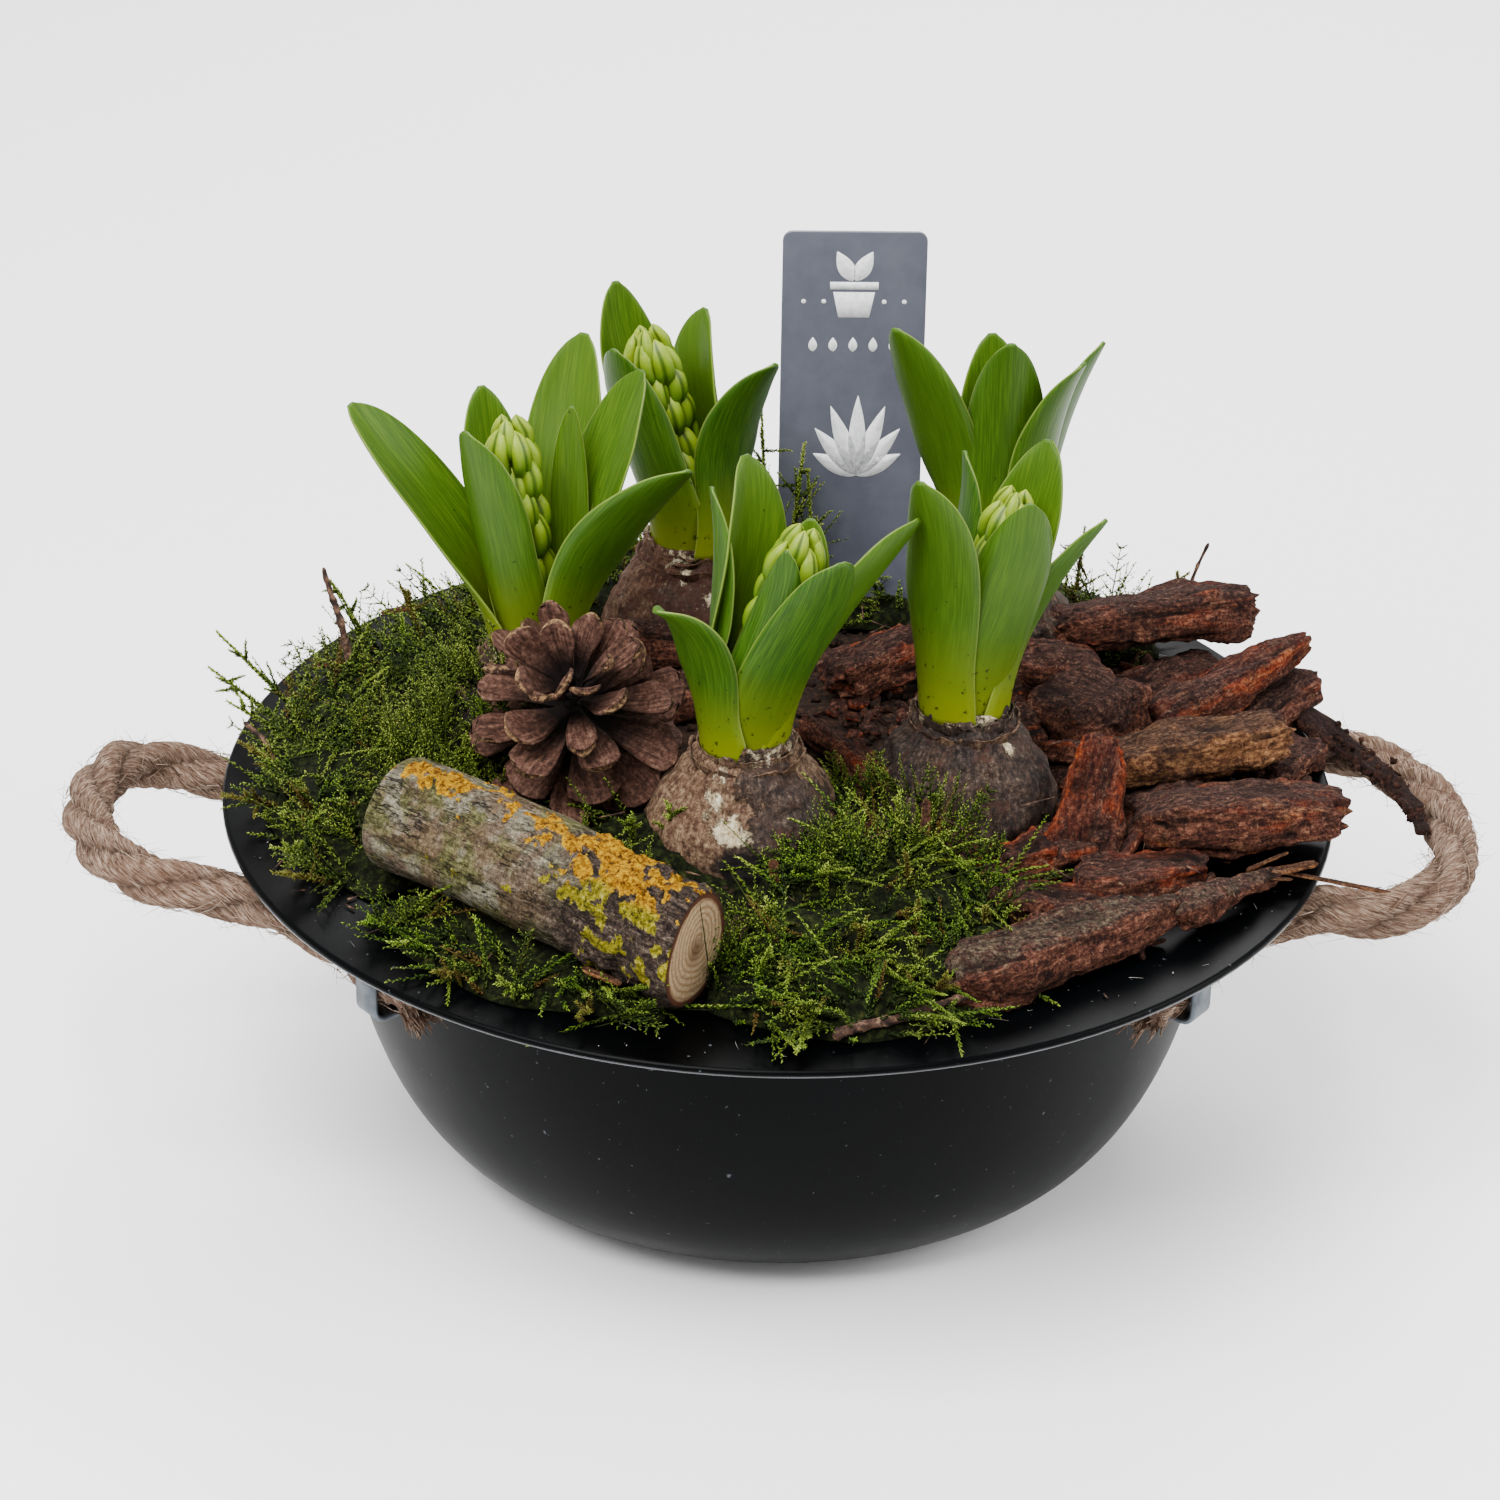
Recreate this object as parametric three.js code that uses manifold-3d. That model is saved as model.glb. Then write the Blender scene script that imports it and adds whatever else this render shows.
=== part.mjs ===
// A planted bowl of forced hyacinths: a black sheet steel bowl with two jute rope handles, five
// sprouting bulbs, a pine cone, a lichened branch, bark chips, moss and a plant label.
// Units are millimetres, +Z is up, and the origin is the centre of the bowl's flat base.

import * as THREE from 'three';
import { mergeVertices } from 'three/addons/utils/BufferGeometryUtils.js';
import Module from 'manifold-3d';

const wasm = await Module();
wasm.setup();

// Driving dimensions

const CLEARANCE = 0.3;      // air between neighbours that touch or press on each other
const HEIGHT = 110;         // bowl base to rim plane
const BASE_RADIUS = 56;     // flat foot of the bowl
const MOUTH_RADIUS = 129;   // wall radius just under the rim
const LIP_RADIUS = 131;     // where the flat rim begins
const RIM_RADIUS = 160;     // outer edge of the rim
const WALL = 1.6;           // steel and its coating
const BEAD = 2.4;           // rolled edge of the rim, depth below the rim plane
const SWELL = 0.58;         // exponent of the wall's curve

const ROPE_RADIUS = 7.5;
const ROPE_STEPS = 26;
const ROPE_HEIGHT = 92;     // rope centre above the base where it is clipped to the wall
const STRAP_WIDTH = 9;
const STRAP_GAUGE = 1.6;
const STRAP_FOOT = 6.5;     // how far the strap's feet reach up and down the wall
const STRAP_BEND = 4;       // its bends, measured on the outside

const BULB_RADIUS = 28;
const BULB_TOP = 26;        // bulb's widest level to its neck
const SHEATH_RADIUS = 13;   // leaf bases where they leave the bulb
const LEAF_GAUGE = 1.1;     // leaf thickness on its midrib
const STALK_RADIUS = 4;     // flower stalk
const SHEATH_HEIGHT = 16;   // closed part of the shoot above the neck
const WHORL_PITCH = 9;      // from one whorl of buds to the next
const BUD_REACH = 10.4;     // tip of a bud from the middle of the spike

const SOIL_TOP = 124;       // crown of the fill in the middle of the bowl
const SOIL_FALL = 14;       // how far it drops to the rim plane near the wall
const SOIL_RADIUS = 105;    // where it reaches the rim plane
const CHIP_MOUND = 4;       // extra fill under the bark chips
const MOSS_EDGE = 152;      // how far moss creeps out over the flat rim

const LABEL = { width: 43, length: 140, gauge: 1.2, corner: 3 };

const COLOURS = {
  bowl: 0x14171c, strap: 0x9aa0a6, rope: 0xa98c6a, soil: 0x2c2019, bulb: 0x6f5448, leaf: 0x5a9a22,
  bud: 0xa9bd45, cone: 0x6d4437, branch: 0x8a8775, bark: 0x6b3a28, moss: 0x4f6a26, label: 0x54566a,
};

// Where things grow and lie: positions in mm, angles in degrees, turns measured from +X.
// A leaf is given by the turn it grows to, how far its tip reaches out and rises above the neck of
// the bulb, its width, how far its tip leans out from upright, and which way its outer face looks
// where the blade is twisted. A spike has a number of whorls below its top and a height.

const PLANTS = [
  { name: 'a', neck: [-9, -47, 150], drift: 14, buds: 3, spike: 58, leaves: [
    { turn: 205, reach: 40, rise: 46, width: 22, lean: 62, back: 230 },
    { turn: 150, reach: 31, rise: 68, width: 21, lean: 12, back: 190 },
    { turn: 135, reach: 28, rise: 76, width: 26, lean: 14 },
    { turn: 250, reach: 14, rise: 63, width: 14, lean: 4 },
    { turn: 80, reach: 14, rise: 60, width: 19, lean: 10 },
    { turn: 300, reach: 21, rise: 62, width: 26, lean: 20 },
    { turn: 8, reach: 31, rise: 65, width: 24, lean: 34, back: 325 },
  ] },
  { name: 'b', neck: [52, -24, 150], drift: 11, buds: 3, spike: 60, leaves: [
    { turn: 215, reach: 36, rise: 77, width: 25, lean: 22, back: 235 },
    { turn: 140, reach: 20, rise: 71, width: 23, lean: 8, back: 190 },
    { turn: 280, reach: 14, rise: 68, width: 24, lean: 4 },
    { turn: 62, reach: 15, rise: 75, width: 24, lean: 16 },
    { turn: 5, reach: 27, rise: 56, width: 22, lean: 38, back: 330 },
  ] },
  { name: 'c', neck: [-71, 8, 150], drift: -6, buds: 5, spike: 66, leaves: [
    { turn: 170, reach: 46, rise: 69, width: 25, lean: 34, back: 215 },
    { turn: 226, reach: 16, rise: 70, width: 27, lean: 12 },
    { turn: 115, reach: 20, rise: 71, width: 21, lean: 8 },
    { turn: 342, reach: 53, rise: 62, width: 28, lean: 44, back: 305 },
    { turn: 30, reach: 20, rise: 69, width: 10, lean: 4 },
    { turn: 22, reach: 41, rise: 78, width: 25, lean: 18, back: 350 },
    { turn: 60, reach: 42, rise: 80, width: 27, lean: 16 },
  ] },
  { name: 'd', neck: [-28, 78, 150], drift: -12, buds: 4, spike: 62, leaves: [
    { turn: 120, reach: 16, rise: 76, width: 22, lean: 4 },
    { turn: 235, reach: 16, rise: 66, width: 23, lean: 10 },
    { turn: 40, reach: 22, rise: 68, width: 23, lean: 14 },
    { turn: 345, reach: 38, rise: 61, width: 26, lean: 36, back: 315 },
  ] },
  { name: 'e', neck: [64, 66, 148], drift: -1, buds: 3, spike: 60, leaves: [
    { turn: 200, reach: 34, rise: 81, width: 25, lean: 22, back: 235 },
    { turn: 100, reach: 17, rise: 68, width: 23, lean: 8 },
    { turn: 275, reach: 16, rise: 79, width: 25, lean: 8 },
    { turn: 330, reach: 26, rise: 72, width: 27, lean: 28 },
    { turn: 18, reach: 31, rise: 69, width: 25, lean: 30, back: 340 },
  ] },
];

const CONE = { at: [-57, -29, 146], turn: 265, tilt: 40, scales: 36, reach: 24, half: 20 };

const BRANCH = { from: [-104, -60, 130], to: [-21, -129, 128], radius: 17 };

// Bark chips: middle, size along, across and through, turn in plan, pitch of the long way, roll
const CHIPS = [
  { at: [110, 64, 133], size: [64, 25, 15], turn: 21, pitch: -2, roll: -14 },
  { at: [131, 36, 124.6], size: [62, 13, 12], turn: 37, pitch: 12, roll: 0 },
  { at: [112, 47, 118], size: [44, 24, 12], turn: 24, pitch: 2, roll: -8 },
  { at: [81, 36, 131], size: [27, 15, 10], turn: 8, pitch: -6, roll: 6 },
  { at: [146, 44, 116], size: [32, 19, 11], turn: 52, pitch: 4, roll: 0 },
  { at: [90, 17, 124], size: [34, 30, 22], turn: -50, pitch: 8, roll: 10 },
  { at: [118, -7, 126], size: [58, 23, 13], turn: 21, pitch: 4, roll: -12 },
  { at: [145, 10, 114.4], size: [30, 21, 10], turn: 60, pitch: 0, roll: 4 },
  { at: [130, -36, 121], size: [60, 25, 15], turn: 9, pitch: 1, roll: -10 },
  { at: [88, -42, 128], size: [38, 26, 13], turn: 70, pitch: 58, roll: 10 },
  { at: [69, -58, 118], size: [17, 15, 13], turn: 25, pitch: 5, roll: 0 },
  { at: [101, -62, 116], size: [38, 18, 10], turn: 14, pitch: 0, roll: 0 },
  { at: [77, -78, 115], size: [28, 18, 9], turn: -8, pitch: -3, roll: 0 },
  { at: [79, -104, 118], size: [78, 19, 14], turn: 35, pitch: 2, roll: -8 },
  { at: [24, -18, 126], size: [44, 22, 10], turn: -48, pitch: -6, roll: -30 },
  { at: [29, 36, 131], size: [40, 20, 14], turn: 36, pitch: 5, roll: -10 },
  { at: [-34, 46, 130], size: [46, 28, 12], turn: -12, pitch: 4, roll: -24 },
  { at: [-24, 20, 127], size: [34, 22, 11], turn: 12, pitch: 0, roll: -8 },
  { at: [104, -18, 116], size: [44, 26, 13], turn: -30, pitch: 0, roll: 0 },
  { at: [60, 8, 124], size: [30, 18, 10], turn: 15, pitch: 0, roll: 0 },
];

// Twigs: both ends and the thick end's radius
const TWIGS = [
  { from: [112, -87, 119], to: [139, -58, 115], radius: 3.2 },
  { from: [16, -147, 112.4], to: [52, -131, 116], radius: 2 },
  { from: [-127, 46, 120], to: [-136, 60, 146], radius: 1.8 },
];

// Moss cushions: a stretch of the bowl between two turns and two radii, and their thickness.
// Sprigs stand out of each by turn, radius, height and lean outwards.
const MOSSES = [
  { name: 'left', from: 130, to: 214, inner: 76, outer: 149, thick: 17, sprigs: [
    [152, 138, 26, 20], [163, 142, 24, 62], [170, 130, 16, 10], [184, 140, 16, 40],
    [196, 134, 14, 20], [204, 140, 14, 50], [158, 118, 22, 5] ] },
  { name: 'front_left', from: 217, to: 258, inner: 104, outer: 147, thick: 8, sprigs: [
    [222, 141, 10, 50], [236, 142, 9, 60], [250, 142, 9, 60] ] },
  { name: 'front', from: 262, to: 306, inner: 60, outer: 146, thick: 21, sprigs: [
    [268, 128, 18, 10], [274, 141, 14, 70], [281, 116, 18, 5], [288, 134, 16, 30],
    [294, 92, 18, 0], [300, 112, 14, 10], [278, 96, 20, 0] ] },
  { name: 'middle', from: 222, to: 264, inner: 56, outer: 94, thick: 9, sprigs: [[244, 66, 12, 0]] },
  { name: 'back_left', from: 100, to: 129, inner: 98, outer: 150, thick: 22, sprigs: [
    [127, 136, 42, 8], [124, 128, 24, 15], [117, 138, 26, 20], [110, 130, 20, 10] ] },
  { name: 'back', from: 66, to: 99, inner: 92, outer: 138, thick: 16, sprigs: [
    [94, 112, 38, 2], [88, 108, 44, 4], [78, 112, 30, 5], [72, 124, 24, 10] ] },
  { name: 'right', from: 36, to: 63, inner: 108, outer: 147, thick: 18, sprigs: [
    [60, 134, 42, 4], [50, 138, 24, 20], [42, 142, 22, 50] ] },
];

// Rope routes from front clip to back clip, through the loop that stands out past the rim
const ROPE_RIGHT = [
  [101.5, -92.5, 90], [106.4, -85.7, 91.7], [111, -79.2, 92], [115.7, -72.7, 92], [125, -60.5, 93],
  [137, -50.5, 95], [150, -46, 97], [164, -47.5, 97], [178, -45, 98], [189, -35, 99], [194, -19, 100],
  [194, 2, 100], [189, 21, 100], [180, 37, 99], [168, 50, 97], [153, 59, 95], [137, 63.5, 93],
  [122, 70.5, 92], [110.4, 80.6, 92], [105.3, 86.8, 92], [100.2, 93, 91.7], [95.2, 99, 90],
];
const ROPE_LEFT = [
  [-95.2, -99, 90], [-100.2, -93, 91.7], [-105.3, -86.8, 92], [-110.4, -80.6, 92], [-121, -67, 92],
  [-134, -55.5, 93], [-150, -49, 95], [-166, -47, 97], [-181, -41, 98], [-193, -28, 99],
  [-199, -10, 99], [-199, 8, 98], [-194, 26, 96], [-184, 37, 91], [-170, 40.5, 86], [-155, 43, 83],
  [-141, 50, 84], [-127, 60, 88], [-115.7, 72.7, 91.5], [-111, 79.2, 92], [-106.4, 85.7, 91.7],
  [-101.5, 92.5, 90],
];
const CLIP_TURNS = { right_front: -35.5, right_back: 39.5, left_back: 144.5, left_front: 219.5 };

// Small helpers

const radians = THREE.MathUtils.degToRad;
const vector = (list) => new THREE.Vector3(...list);
const outward = (degrees) => new THREE.Vector3(Math.cos(radians(degrees)), Math.sin(radians(degrees)), 0);
const UP = new THREE.Vector3(0, 0, 1);
const wrapped = (degrees) => (degrees > 180 ? degrees - 360 : degrees);

// A stream of repeatable random numbers between 0 and 1
function seeded(seed) {
  let state = seed >>> 0;
  return () => {
    state = (state + 0x6d2b79f5) | 0;
    let mixed = Math.imul(state ^ (state >>> 15), 1 | state);
    mixed = (mixed + Math.imul(mixed ^ (mixed >>> 7), 61 | mixed)) ^ mixed;
    return ((mixed ^ (mixed >>> 14)) >>> 0) / 4294967296;
  };
}

// A closed geometry as a solid: shared corners merged, empty triangles dropped, faces turned out
function toSolid(geometry) {
  const bare = new THREE.BufferGeometry();
  bare.setAttribute('position', geometry.attributes.position);
  bare.setIndex(geometry.index);
  const merged = mergeVertices(bare, 1e-4);
  const corners = merged.attributes.position.array;
  const faces = [];
  let volume = 0;
  for (let i = 0; i < merged.index.count; i += 3) {
    const [a, b, c] = merged.index.array.slice(i, i + 3);
    if (a === b || b === c || a === c) continue;
    const [p, q, r] = [a, b, c].map((k) => new THREE.Vector3().fromArray(corners, 3 * k));
    volume += p.dot(q.cross(r));
    faces.push([a, b, c]);
  }
  const triVerts = Uint32Array.from(faces.flatMap(([a, b, c]) => (volume < 0 ? [a, c, b] : [a, b, c])));
  return new wasm.Manifold(new wasm.Mesh({ numProp: 3, vertProperties: corners, triVerts }));
}

function toGeometry(solid) {
  const { numProp, vertProperties, triVerts } = solid.getMesh();
  const corners = new Float32Array((vertProperties.length / numProp) * 3);
  for (let i = 0; i < corners.length / 3; i++) {
    corners.set(vertProperties.subarray(i * numProp, i * numProp + 3), 3 * i);
  }
  const geometry = new THREE.BufferGeometry();
  geometry.setAttribute('position', new THREE.BufferAttribute(corners, 3));
  geometry.setIndex(new THREE.BufferAttribute(triVerts, 1));
  geometry.computeVertexNormals();
  return geometry;
}

// Rings with equal numbers of points, bridged by quads; a fan to a middle point closes each end
function loft(rings, start, end) {
  const count = rings[0].length;
  const middle = (ring) => ring.reduce((sum, p) => sum.add(p), new THREE.Vector3()).divideScalar(count);
  const points = [...rings.flat(), start ?? middle(rings[0]), end ?? middle(rings.at(-1))];
  const [first, last] = [points.length - 2, points.length - 1];
  const final = (rings.length - 1) * count;
  const index = [];
  for (let i = 0; i < count; i++) {
    const j = (i + 1) % count;
    for (let r = 0; r < final; r += count) {
      index.push(r + i, r + j, r + count + j, r + i, r + count + j, r + count + i);
    }
    index.push(first, j, i, last, final + i, final + j);
  }
  return toSolid(new THREE.BufferGeometry().setFromPoints(points).setIndex(index));
}

// Two sheets of rows with equal grids, joined round their border into a thin closed blade
function blade(front, back) {
  const [rows, columns] = [front.length, front[0].length];
  const points = [...front.flat(), ...back.flat()];
  const offset = rows * columns;
  const index = [];
  const quad = (a, b, c, d) => index.push(a, b, c, a, c, d);
  for (let r = 0; r + 1 < rows; r++) {
    for (let c = 0; c + 1 < columns; c++) {
      const a = r * columns + c;
      quad(a, a + 1, a + columns + 1, a + columns);
      quad(offset + a, offset + a + columns, offset + a + columns + 1, offset + a + 1);
      if (c === 0) quad(a, a + columns, offset + a + columns, offset + a);
      if (c + 2 === columns) quad(a + 1, offset + a + 1, offset + a + columns + 1, a + columns + 1);
    }
  }
  const top = (rows - 1) * columns;
  for (let c = 0; c + 1 < columns; c++) {
    quad(c, offset + c, offset + c + 1, c + 1);
    quad(top + c, top + c + 1, offset + top + c + 1, offset + top + c);
  }
  // The same split on both sheets keeps a thin blade from crossing itself
  return toSolid(new THREE.BufferGeometry().setFromPoints(points).setIndex(index));
}

// A round body from (radius, height) pairs that start and end on the axis
function turned(profile, segments, place = new THREE.Vector3()) {
  const outline = profile.map(([r, z]) => new THREE.Vector2(r, z));
  const geometry = new THREE.LatheGeometry(outline, segments);
  geometry.rotateX(Math.PI / 2).translate(place.x, place.y, place.z);
  return toSolid(geometry);
}

const largest = (solid) => solid.decompose().sort((p, q) => q.volume() - p.volume())[0];
const overlaps = (p, q) => {
  const [a, b] = [p.boundingBox(), q.boundingBox()];
  if (![0, 1, 2].every((k) => a.min[k] < b.max[k] && b.min[k] < a.max[k])) return false;
  return p.intersect(q).volume() > 1e-6;
};

// Everything that is already in place, as slightly swollen solids that later pieces are cut by
const settled = [];
const part = new THREE.Group();

function place(group, name, solid, colour, roughness, swollen = []) {
  let body = solid;
  for (const other of settled) if (overlaps(body, other)) body = body.subtract(other);
  body = largest(body);
  settled.push(...swollen);
  const material = new THREE.MeshStandardMaterial({ color: colour, roughness, metalness: 0 });
  const mesh = new THREE.Mesh(toGeometry(body), material);
  mesh.name = name;
  group.add(mesh);
  return mesh;
}

// The bowl

// Wall radius at a height: a rounded bottom that turns into an almost upright wall
function wallRadius(height) {
  const rise = Math.sin(Math.acos(1 - height / HEIGHT));
  return BASE_RADIUS + (MOUTH_RADIUS - BASE_RADIUS) * rise ** SWELL;
}

function bowlSolid(grow = 0) {
  const skin = WALL + grow;
  const outer = [3, 9, 18, 32, 52, 78, HEIGHT - WALL].map((z) => [wallRadius(z) + grow, z]);
  const inner = [HEIGHT - 4, 66, 34, 12].map((z) => [wallRadius(z) - skin, z]);
  const rim = [
    [LIP_RADIUS + 1, HEIGHT - skin], [RIM_RADIUS - 2.4, HEIGHT - skin], [RIM_RADIUS - 2, HEIGHT - BEAD],
    [RIM_RADIUS - 0.4, HEIGHT - BEAD], [RIM_RADIUS + grow, HEIGHT - 0.9], [RIM_RADIUS - 1, HEIGHT + grow],
    [LIP_RADIUS, HEIGHT + grow],
  ];
  const foot = [[0, 0], [BASE_RADIUS, 0]];
  return turned([...foot, ...outer, ...rim, ...inner, [BASE_RADIUS - 1, skin], [0, skin]], 36);
}

// Clip: a strap bent over the rope, with a foot on the wall above and below it
function clipGeometry() {
  const reach = wallRadius(ROPE_HEIGHT) + 3 * CLEARANCE + 2 * ROPE_RADIUS + STRAP_GAUGE;
  const half = ROPE_RADIUS + CLEARANCE + STRAP_GAUGE;
  const foot = (z) => wallRadius(z) + CLEARANCE;
  const [low, high] = [ROPE_HEIGHT - half, ROPE_HEIGHT + half];
  const [toe, heel] = [low - STRAP_FOOT, high + STRAP_FOOT];
  const turn = STRAP_BEND + 1;
  const outline = [
    [foot(heel), heel], [foot(high), high - STRAP_GAUGE], [reach - turn, high - STRAP_GAUGE],
    [reach - STRAP_GAUGE, high - turn], [reach - STRAP_GAUGE, low + turn],
    [reach - turn, low + STRAP_GAUGE], [foot(low), low + STRAP_GAUGE], [foot(toe), toe],
    [foot(toe) + STRAP_GAUGE, toe], [foot(low) + STRAP_GAUGE, low], [reach - STRAP_BEND, low],
    [reach, low + STRAP_BEND], [reach, high - STRAP_BEND], [reach - STRAP_BEND, high],
    [foot(high) + STRAP_GAUGE, high], [foot(heel) + STRAP_GAUGE, heel],
  ];
  const shape = new THREE.Shape(outline.map(([r, z]) => new THREE.Vector2(r, z)));
  const geometry = new THREE.ExtrudeGeometry(shape, { depth: STRAP_WIDTH, bevelEnabled: false });
  return geometry.translate(0, 0, -STRAP_WIDTH / 2).rotateX(Math.PI / 2);
}

function ropeGeometry(route) {
  const corners = Array.from({ length: 8 }, (_, i) => {
    const angle = ((i + 0.5) / 8) * 2 * Math.PI;
    return new THREE.Vector2(Math.cos(angle), Math.sin(angle)).multiplyScalar(ROPE_RADIUS);
  });
  const extrudePath = new THREE.CatmullRomCurve3(route.map(vector), false, 'centripetal');
  const options = { steps: ROPE_STEPS, extrudePath, bevelEnabled: false };
  return new THREE.ExtrudeGeometry(new THREE.Shape(corners), options);
}

// Ground under moss and chips: a low crown that dips to the rim, higher where the bark is heaped
function fillHeight(x, y) {
  const radius = Math.hypot(x, y);
  const side = THREE.MathUtils.smoothstep(x, 50, 90) * THREE.MathUtils.smoothstep(-radius, -126, -100);
  return SOIL_TOP - SOIL_FALL * (radius / SOIL_RADIUS) ** 2 + CHIP_MOUND * side;
}

// The bulbs and what grows from them

function bulbSolid(neck, seed, grow = 0) {
  const wide = BULB_RADIUS + grow;
  const skin = [
    [0, -24 - grow], [13 + grow, -22 - grow], [wide * 0.9, -11], [wide, 2], [wide * 0.84, 14],
    [SHEATH_RADIUS + 3 + grow, 23], [SHEATH_RADIUS + 1.2 + grow, BULB_TOP + grow],
  ];
  // The leaf sheath stands in a plain round hole in the neck
  const hole = [[SHEATH_RADIUS - 1, BULB_TOP - 0.5], [SHEATH_RADIUS - 1, 16], [0, 16]];
  const centre = neck.clone().addScaledVector(UP, -BULB_TOP);
  const random = seeded(seed);
  const [ripple, phase] = [2 + Math.floor(random() * 2), random() * 6];
  const body = turned([...skin, ...(grow ? [[0, BULB_TOP + grow]] : hole)], 12, centre);
  return body.warp((point) => {
    const [x, y, z] = [point[0] - centre.x, point[1] - centre.y, point[2] - centre.z];
    if (Math.hypot(x, y) < SHEATH_RADIUS) return;
    const bulge = Math.max(0, 1 - (z / BULB_TOP) ** 2) * 0.05;
    const factor = 1 + bulge * Math.sin(ripple * Math.atan2(y, x) + phase);
    point[0] = centre.x + x * factor;
    point[1] = centre.y + y * factor;
  });
}

// A hyacinth leaf: a strap that is channelled along its middle, narrow where it clasps the
// shoot and rounded at its boat-shaped tip. Its midrib is one cubic curve.
function leafSolid(neck, drift, leaf, grow = 0) {
  const out = outward(leaf.turn);
  const root = neck.clone().addScaledVector(out, 8).addScaledVector(UP, 2);
  const tip = neck.clone().addScaledVector(out, leaf.reach).addScaledVector(UP, leaf.rise);
  tip.x += (drift * leaf.rise) / 60;
  const heading = UP.clone().multiplyScalar(Math.cos(radians(leaf.lean)));
  heading.addScaledVector(out, Math.sin(radians(leaf.lean)));
  const knee = root.clone().addScaledVector(UP, leaf.rise * 0.36).addScaledVector(out, 6);
  const elbow = tip.clone().addScaledVector(heading, -leaf.rise * 0.38);
  const midrib = new THREE.CubicBezierCurve3(root, knee, elbow, tip);
  const across = 2;
  const [front, back] = [[], []];
  for (const t of [0, 0.22, 0.45, 0.68, 0.87, 1]) {
    const middle = midrib.getPoint(t);
    const along = midrib.getTangent(t);
    const swing = THREE.MathUtils.smoothstep(t, 0, 0.5) * wrapped((leaf.back ?? leaf.turn) - leaf.turn);
    const side = outward(leaf.turn + swing + 90);
    side.addScaledVector(along, -side.dot(along)).normalize();
    const inward = along.cross(side).normalize();
    const swell = 0.8 + 0.2 * THREE.MathUtils.smoothstep(t, 0, 0.4);
    const taper = Math.max(0.2, (1 - Math.max(0, (t - 0.45) / 0.55) ** 2.6) ** 0.6);
    const half = (leaf.width / 2) * swell * taper + grow;
    const fold = half * (0.16 + 0.5 * (1 - t) ** 3 + 0.25 * t ** 5);
    const inner = [];
    const outer = [];
    for (let c = 0; c <= across; c++) {
      const s = (2 * c) / across - 1;
      const edge = middle.clone().addScaledVector(side, half * s).addScaledVector(inward, fold * s * s);
      const depth = (LEAF_GAUGE * (1 - 0.4 * s * s)) / 2 + grow;
      inner.push(edge.clone().addScaledVector(inward, depth));
      outer.push(edge.clone().addScaledVector(inward, -depth));
    }
    front.push(inner);
    back.push(outer);
  }
  return blade(front, back);
}

// The leaf bases wrap each other into one smooth sheath
function sheathSolid(neck, grow = 0) {
  const foot = 16.3 - BULB_TOP;
  const profile = [
    [0, foot], [SHEATH_RADIUS - 1.4, foot], [SHEATH_RADIUS - 1.4, 0.6], [SHEATH_RADIUS + grow, 3 + grow],
    [SHEATH_RADIUS - 0.6 + grow, SHEATH_HEIGHT / 2], [9 + grow, SHEATH_HEIGHT - 2],
    [0, SHEATH_HEIGHT + grow],
  ];
  return turned(profile, 10, neck);
}

// The axis of the flower spike, from inside the sheath to its topmost bud
function spikeAxis(neck, drift, rise) {
  const foot = neck.clone().addScaledVector(UP, 8);
  const crown = neck.clone().addScaledVector(UP, rise).add(new THREE.Vector3((drift * rise) / 60, 0, 0));
  return new THREE.LineCurve3(foot, crown);
}

function ringAt(centre, axis, radius, sides, twist = 0) {
  const first = new THREE.Vector3(0, 1, 0).cross(axis).normalize();
  const second = axis.clone().cross(first);
  return Array.from({ length: sides }, (_, i) => {
    const angle = (i / sides) * 2 * Math.PI + twist;
    return centre.clone().addScaledVector(first, radius * Math.cos(angle))
      .addScaledVector(second, radius * Math.sin(angle));
  });
}

function stalkSolid(axis, grow = 0) {
  const heading = axis.getTangent(0);
  const foot = axis.v1.clone().addScaledVector(heading, -grow);
  const radius = STALK_RADIUS + grow;
  return loft([ringAt(foot, heading, radius, 8), ringAt(axis.getPoint(0.9), heading, radius * 0.8, 8)]);
}

// Closed buds stand in whorls of five, each whorl turned by half a step and tucked under the one
// above. A whorl is three rings of ten points: every second point swells out into a bud.
function spikeSolid(neck, plant) {
  const axis = spikeAxis(neck, plant.drift, plant.spike);
  const heading = axis.getTangent(0);
  const at = (below) => axis.v2.clone().addScaledVector(heading, -below);
  const rings = [];
  for (let whorl = plant.buds; whorl >= 0; whorl--) {
    const girth = whorl === 0 ? 0.6 : Math.min(1, 0.78 + 0.12 * whorl);
    const foot = 4 + WHORL_PITCH * whorl;
    for (const [below, bud, gap] of [[foot + 5, 6.4, 5], [foot, BUD_REACH, 6], [foot - 4.2, 7, 4.4]]) {
      const level = at(below);
      rings.push(ringAt(level, heading, 1, 10).map((spoke, i) => (
        level.clone().lerp(spoke, girth * ((i + whorl) % 2 ? gap : bud)))));
    }
  }
  return wasm.Manifold.union([stalkSolid(axis), loft(rings, undefined, at(-1))]);
}

// Pine cone: open scales set on a core by the golden angle, spread flat at the waist and closing
// towards the tip
function coneAxis() {
  const axis = outward(CONE.turn).multiplyScalar(Math.cos(radians(CONE.tilt)));
  return axis.addScaledVector(UP, Math.sin(radians(CONE.tilt)));
}

// The hollow that the cone presses into what it lies on
function coneHollow() {
  const axis = coneAxis();
  const rings = [[-28, 18], [-24, 30], [-10, 34], [6, 33], [20, 28], [31, 12]].map(([s, radius]) => (
    ringAt(vector(CONE.at).addScaledVector(axis, s), axis, radius, 12)));
  return loft(rings);
}

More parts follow.
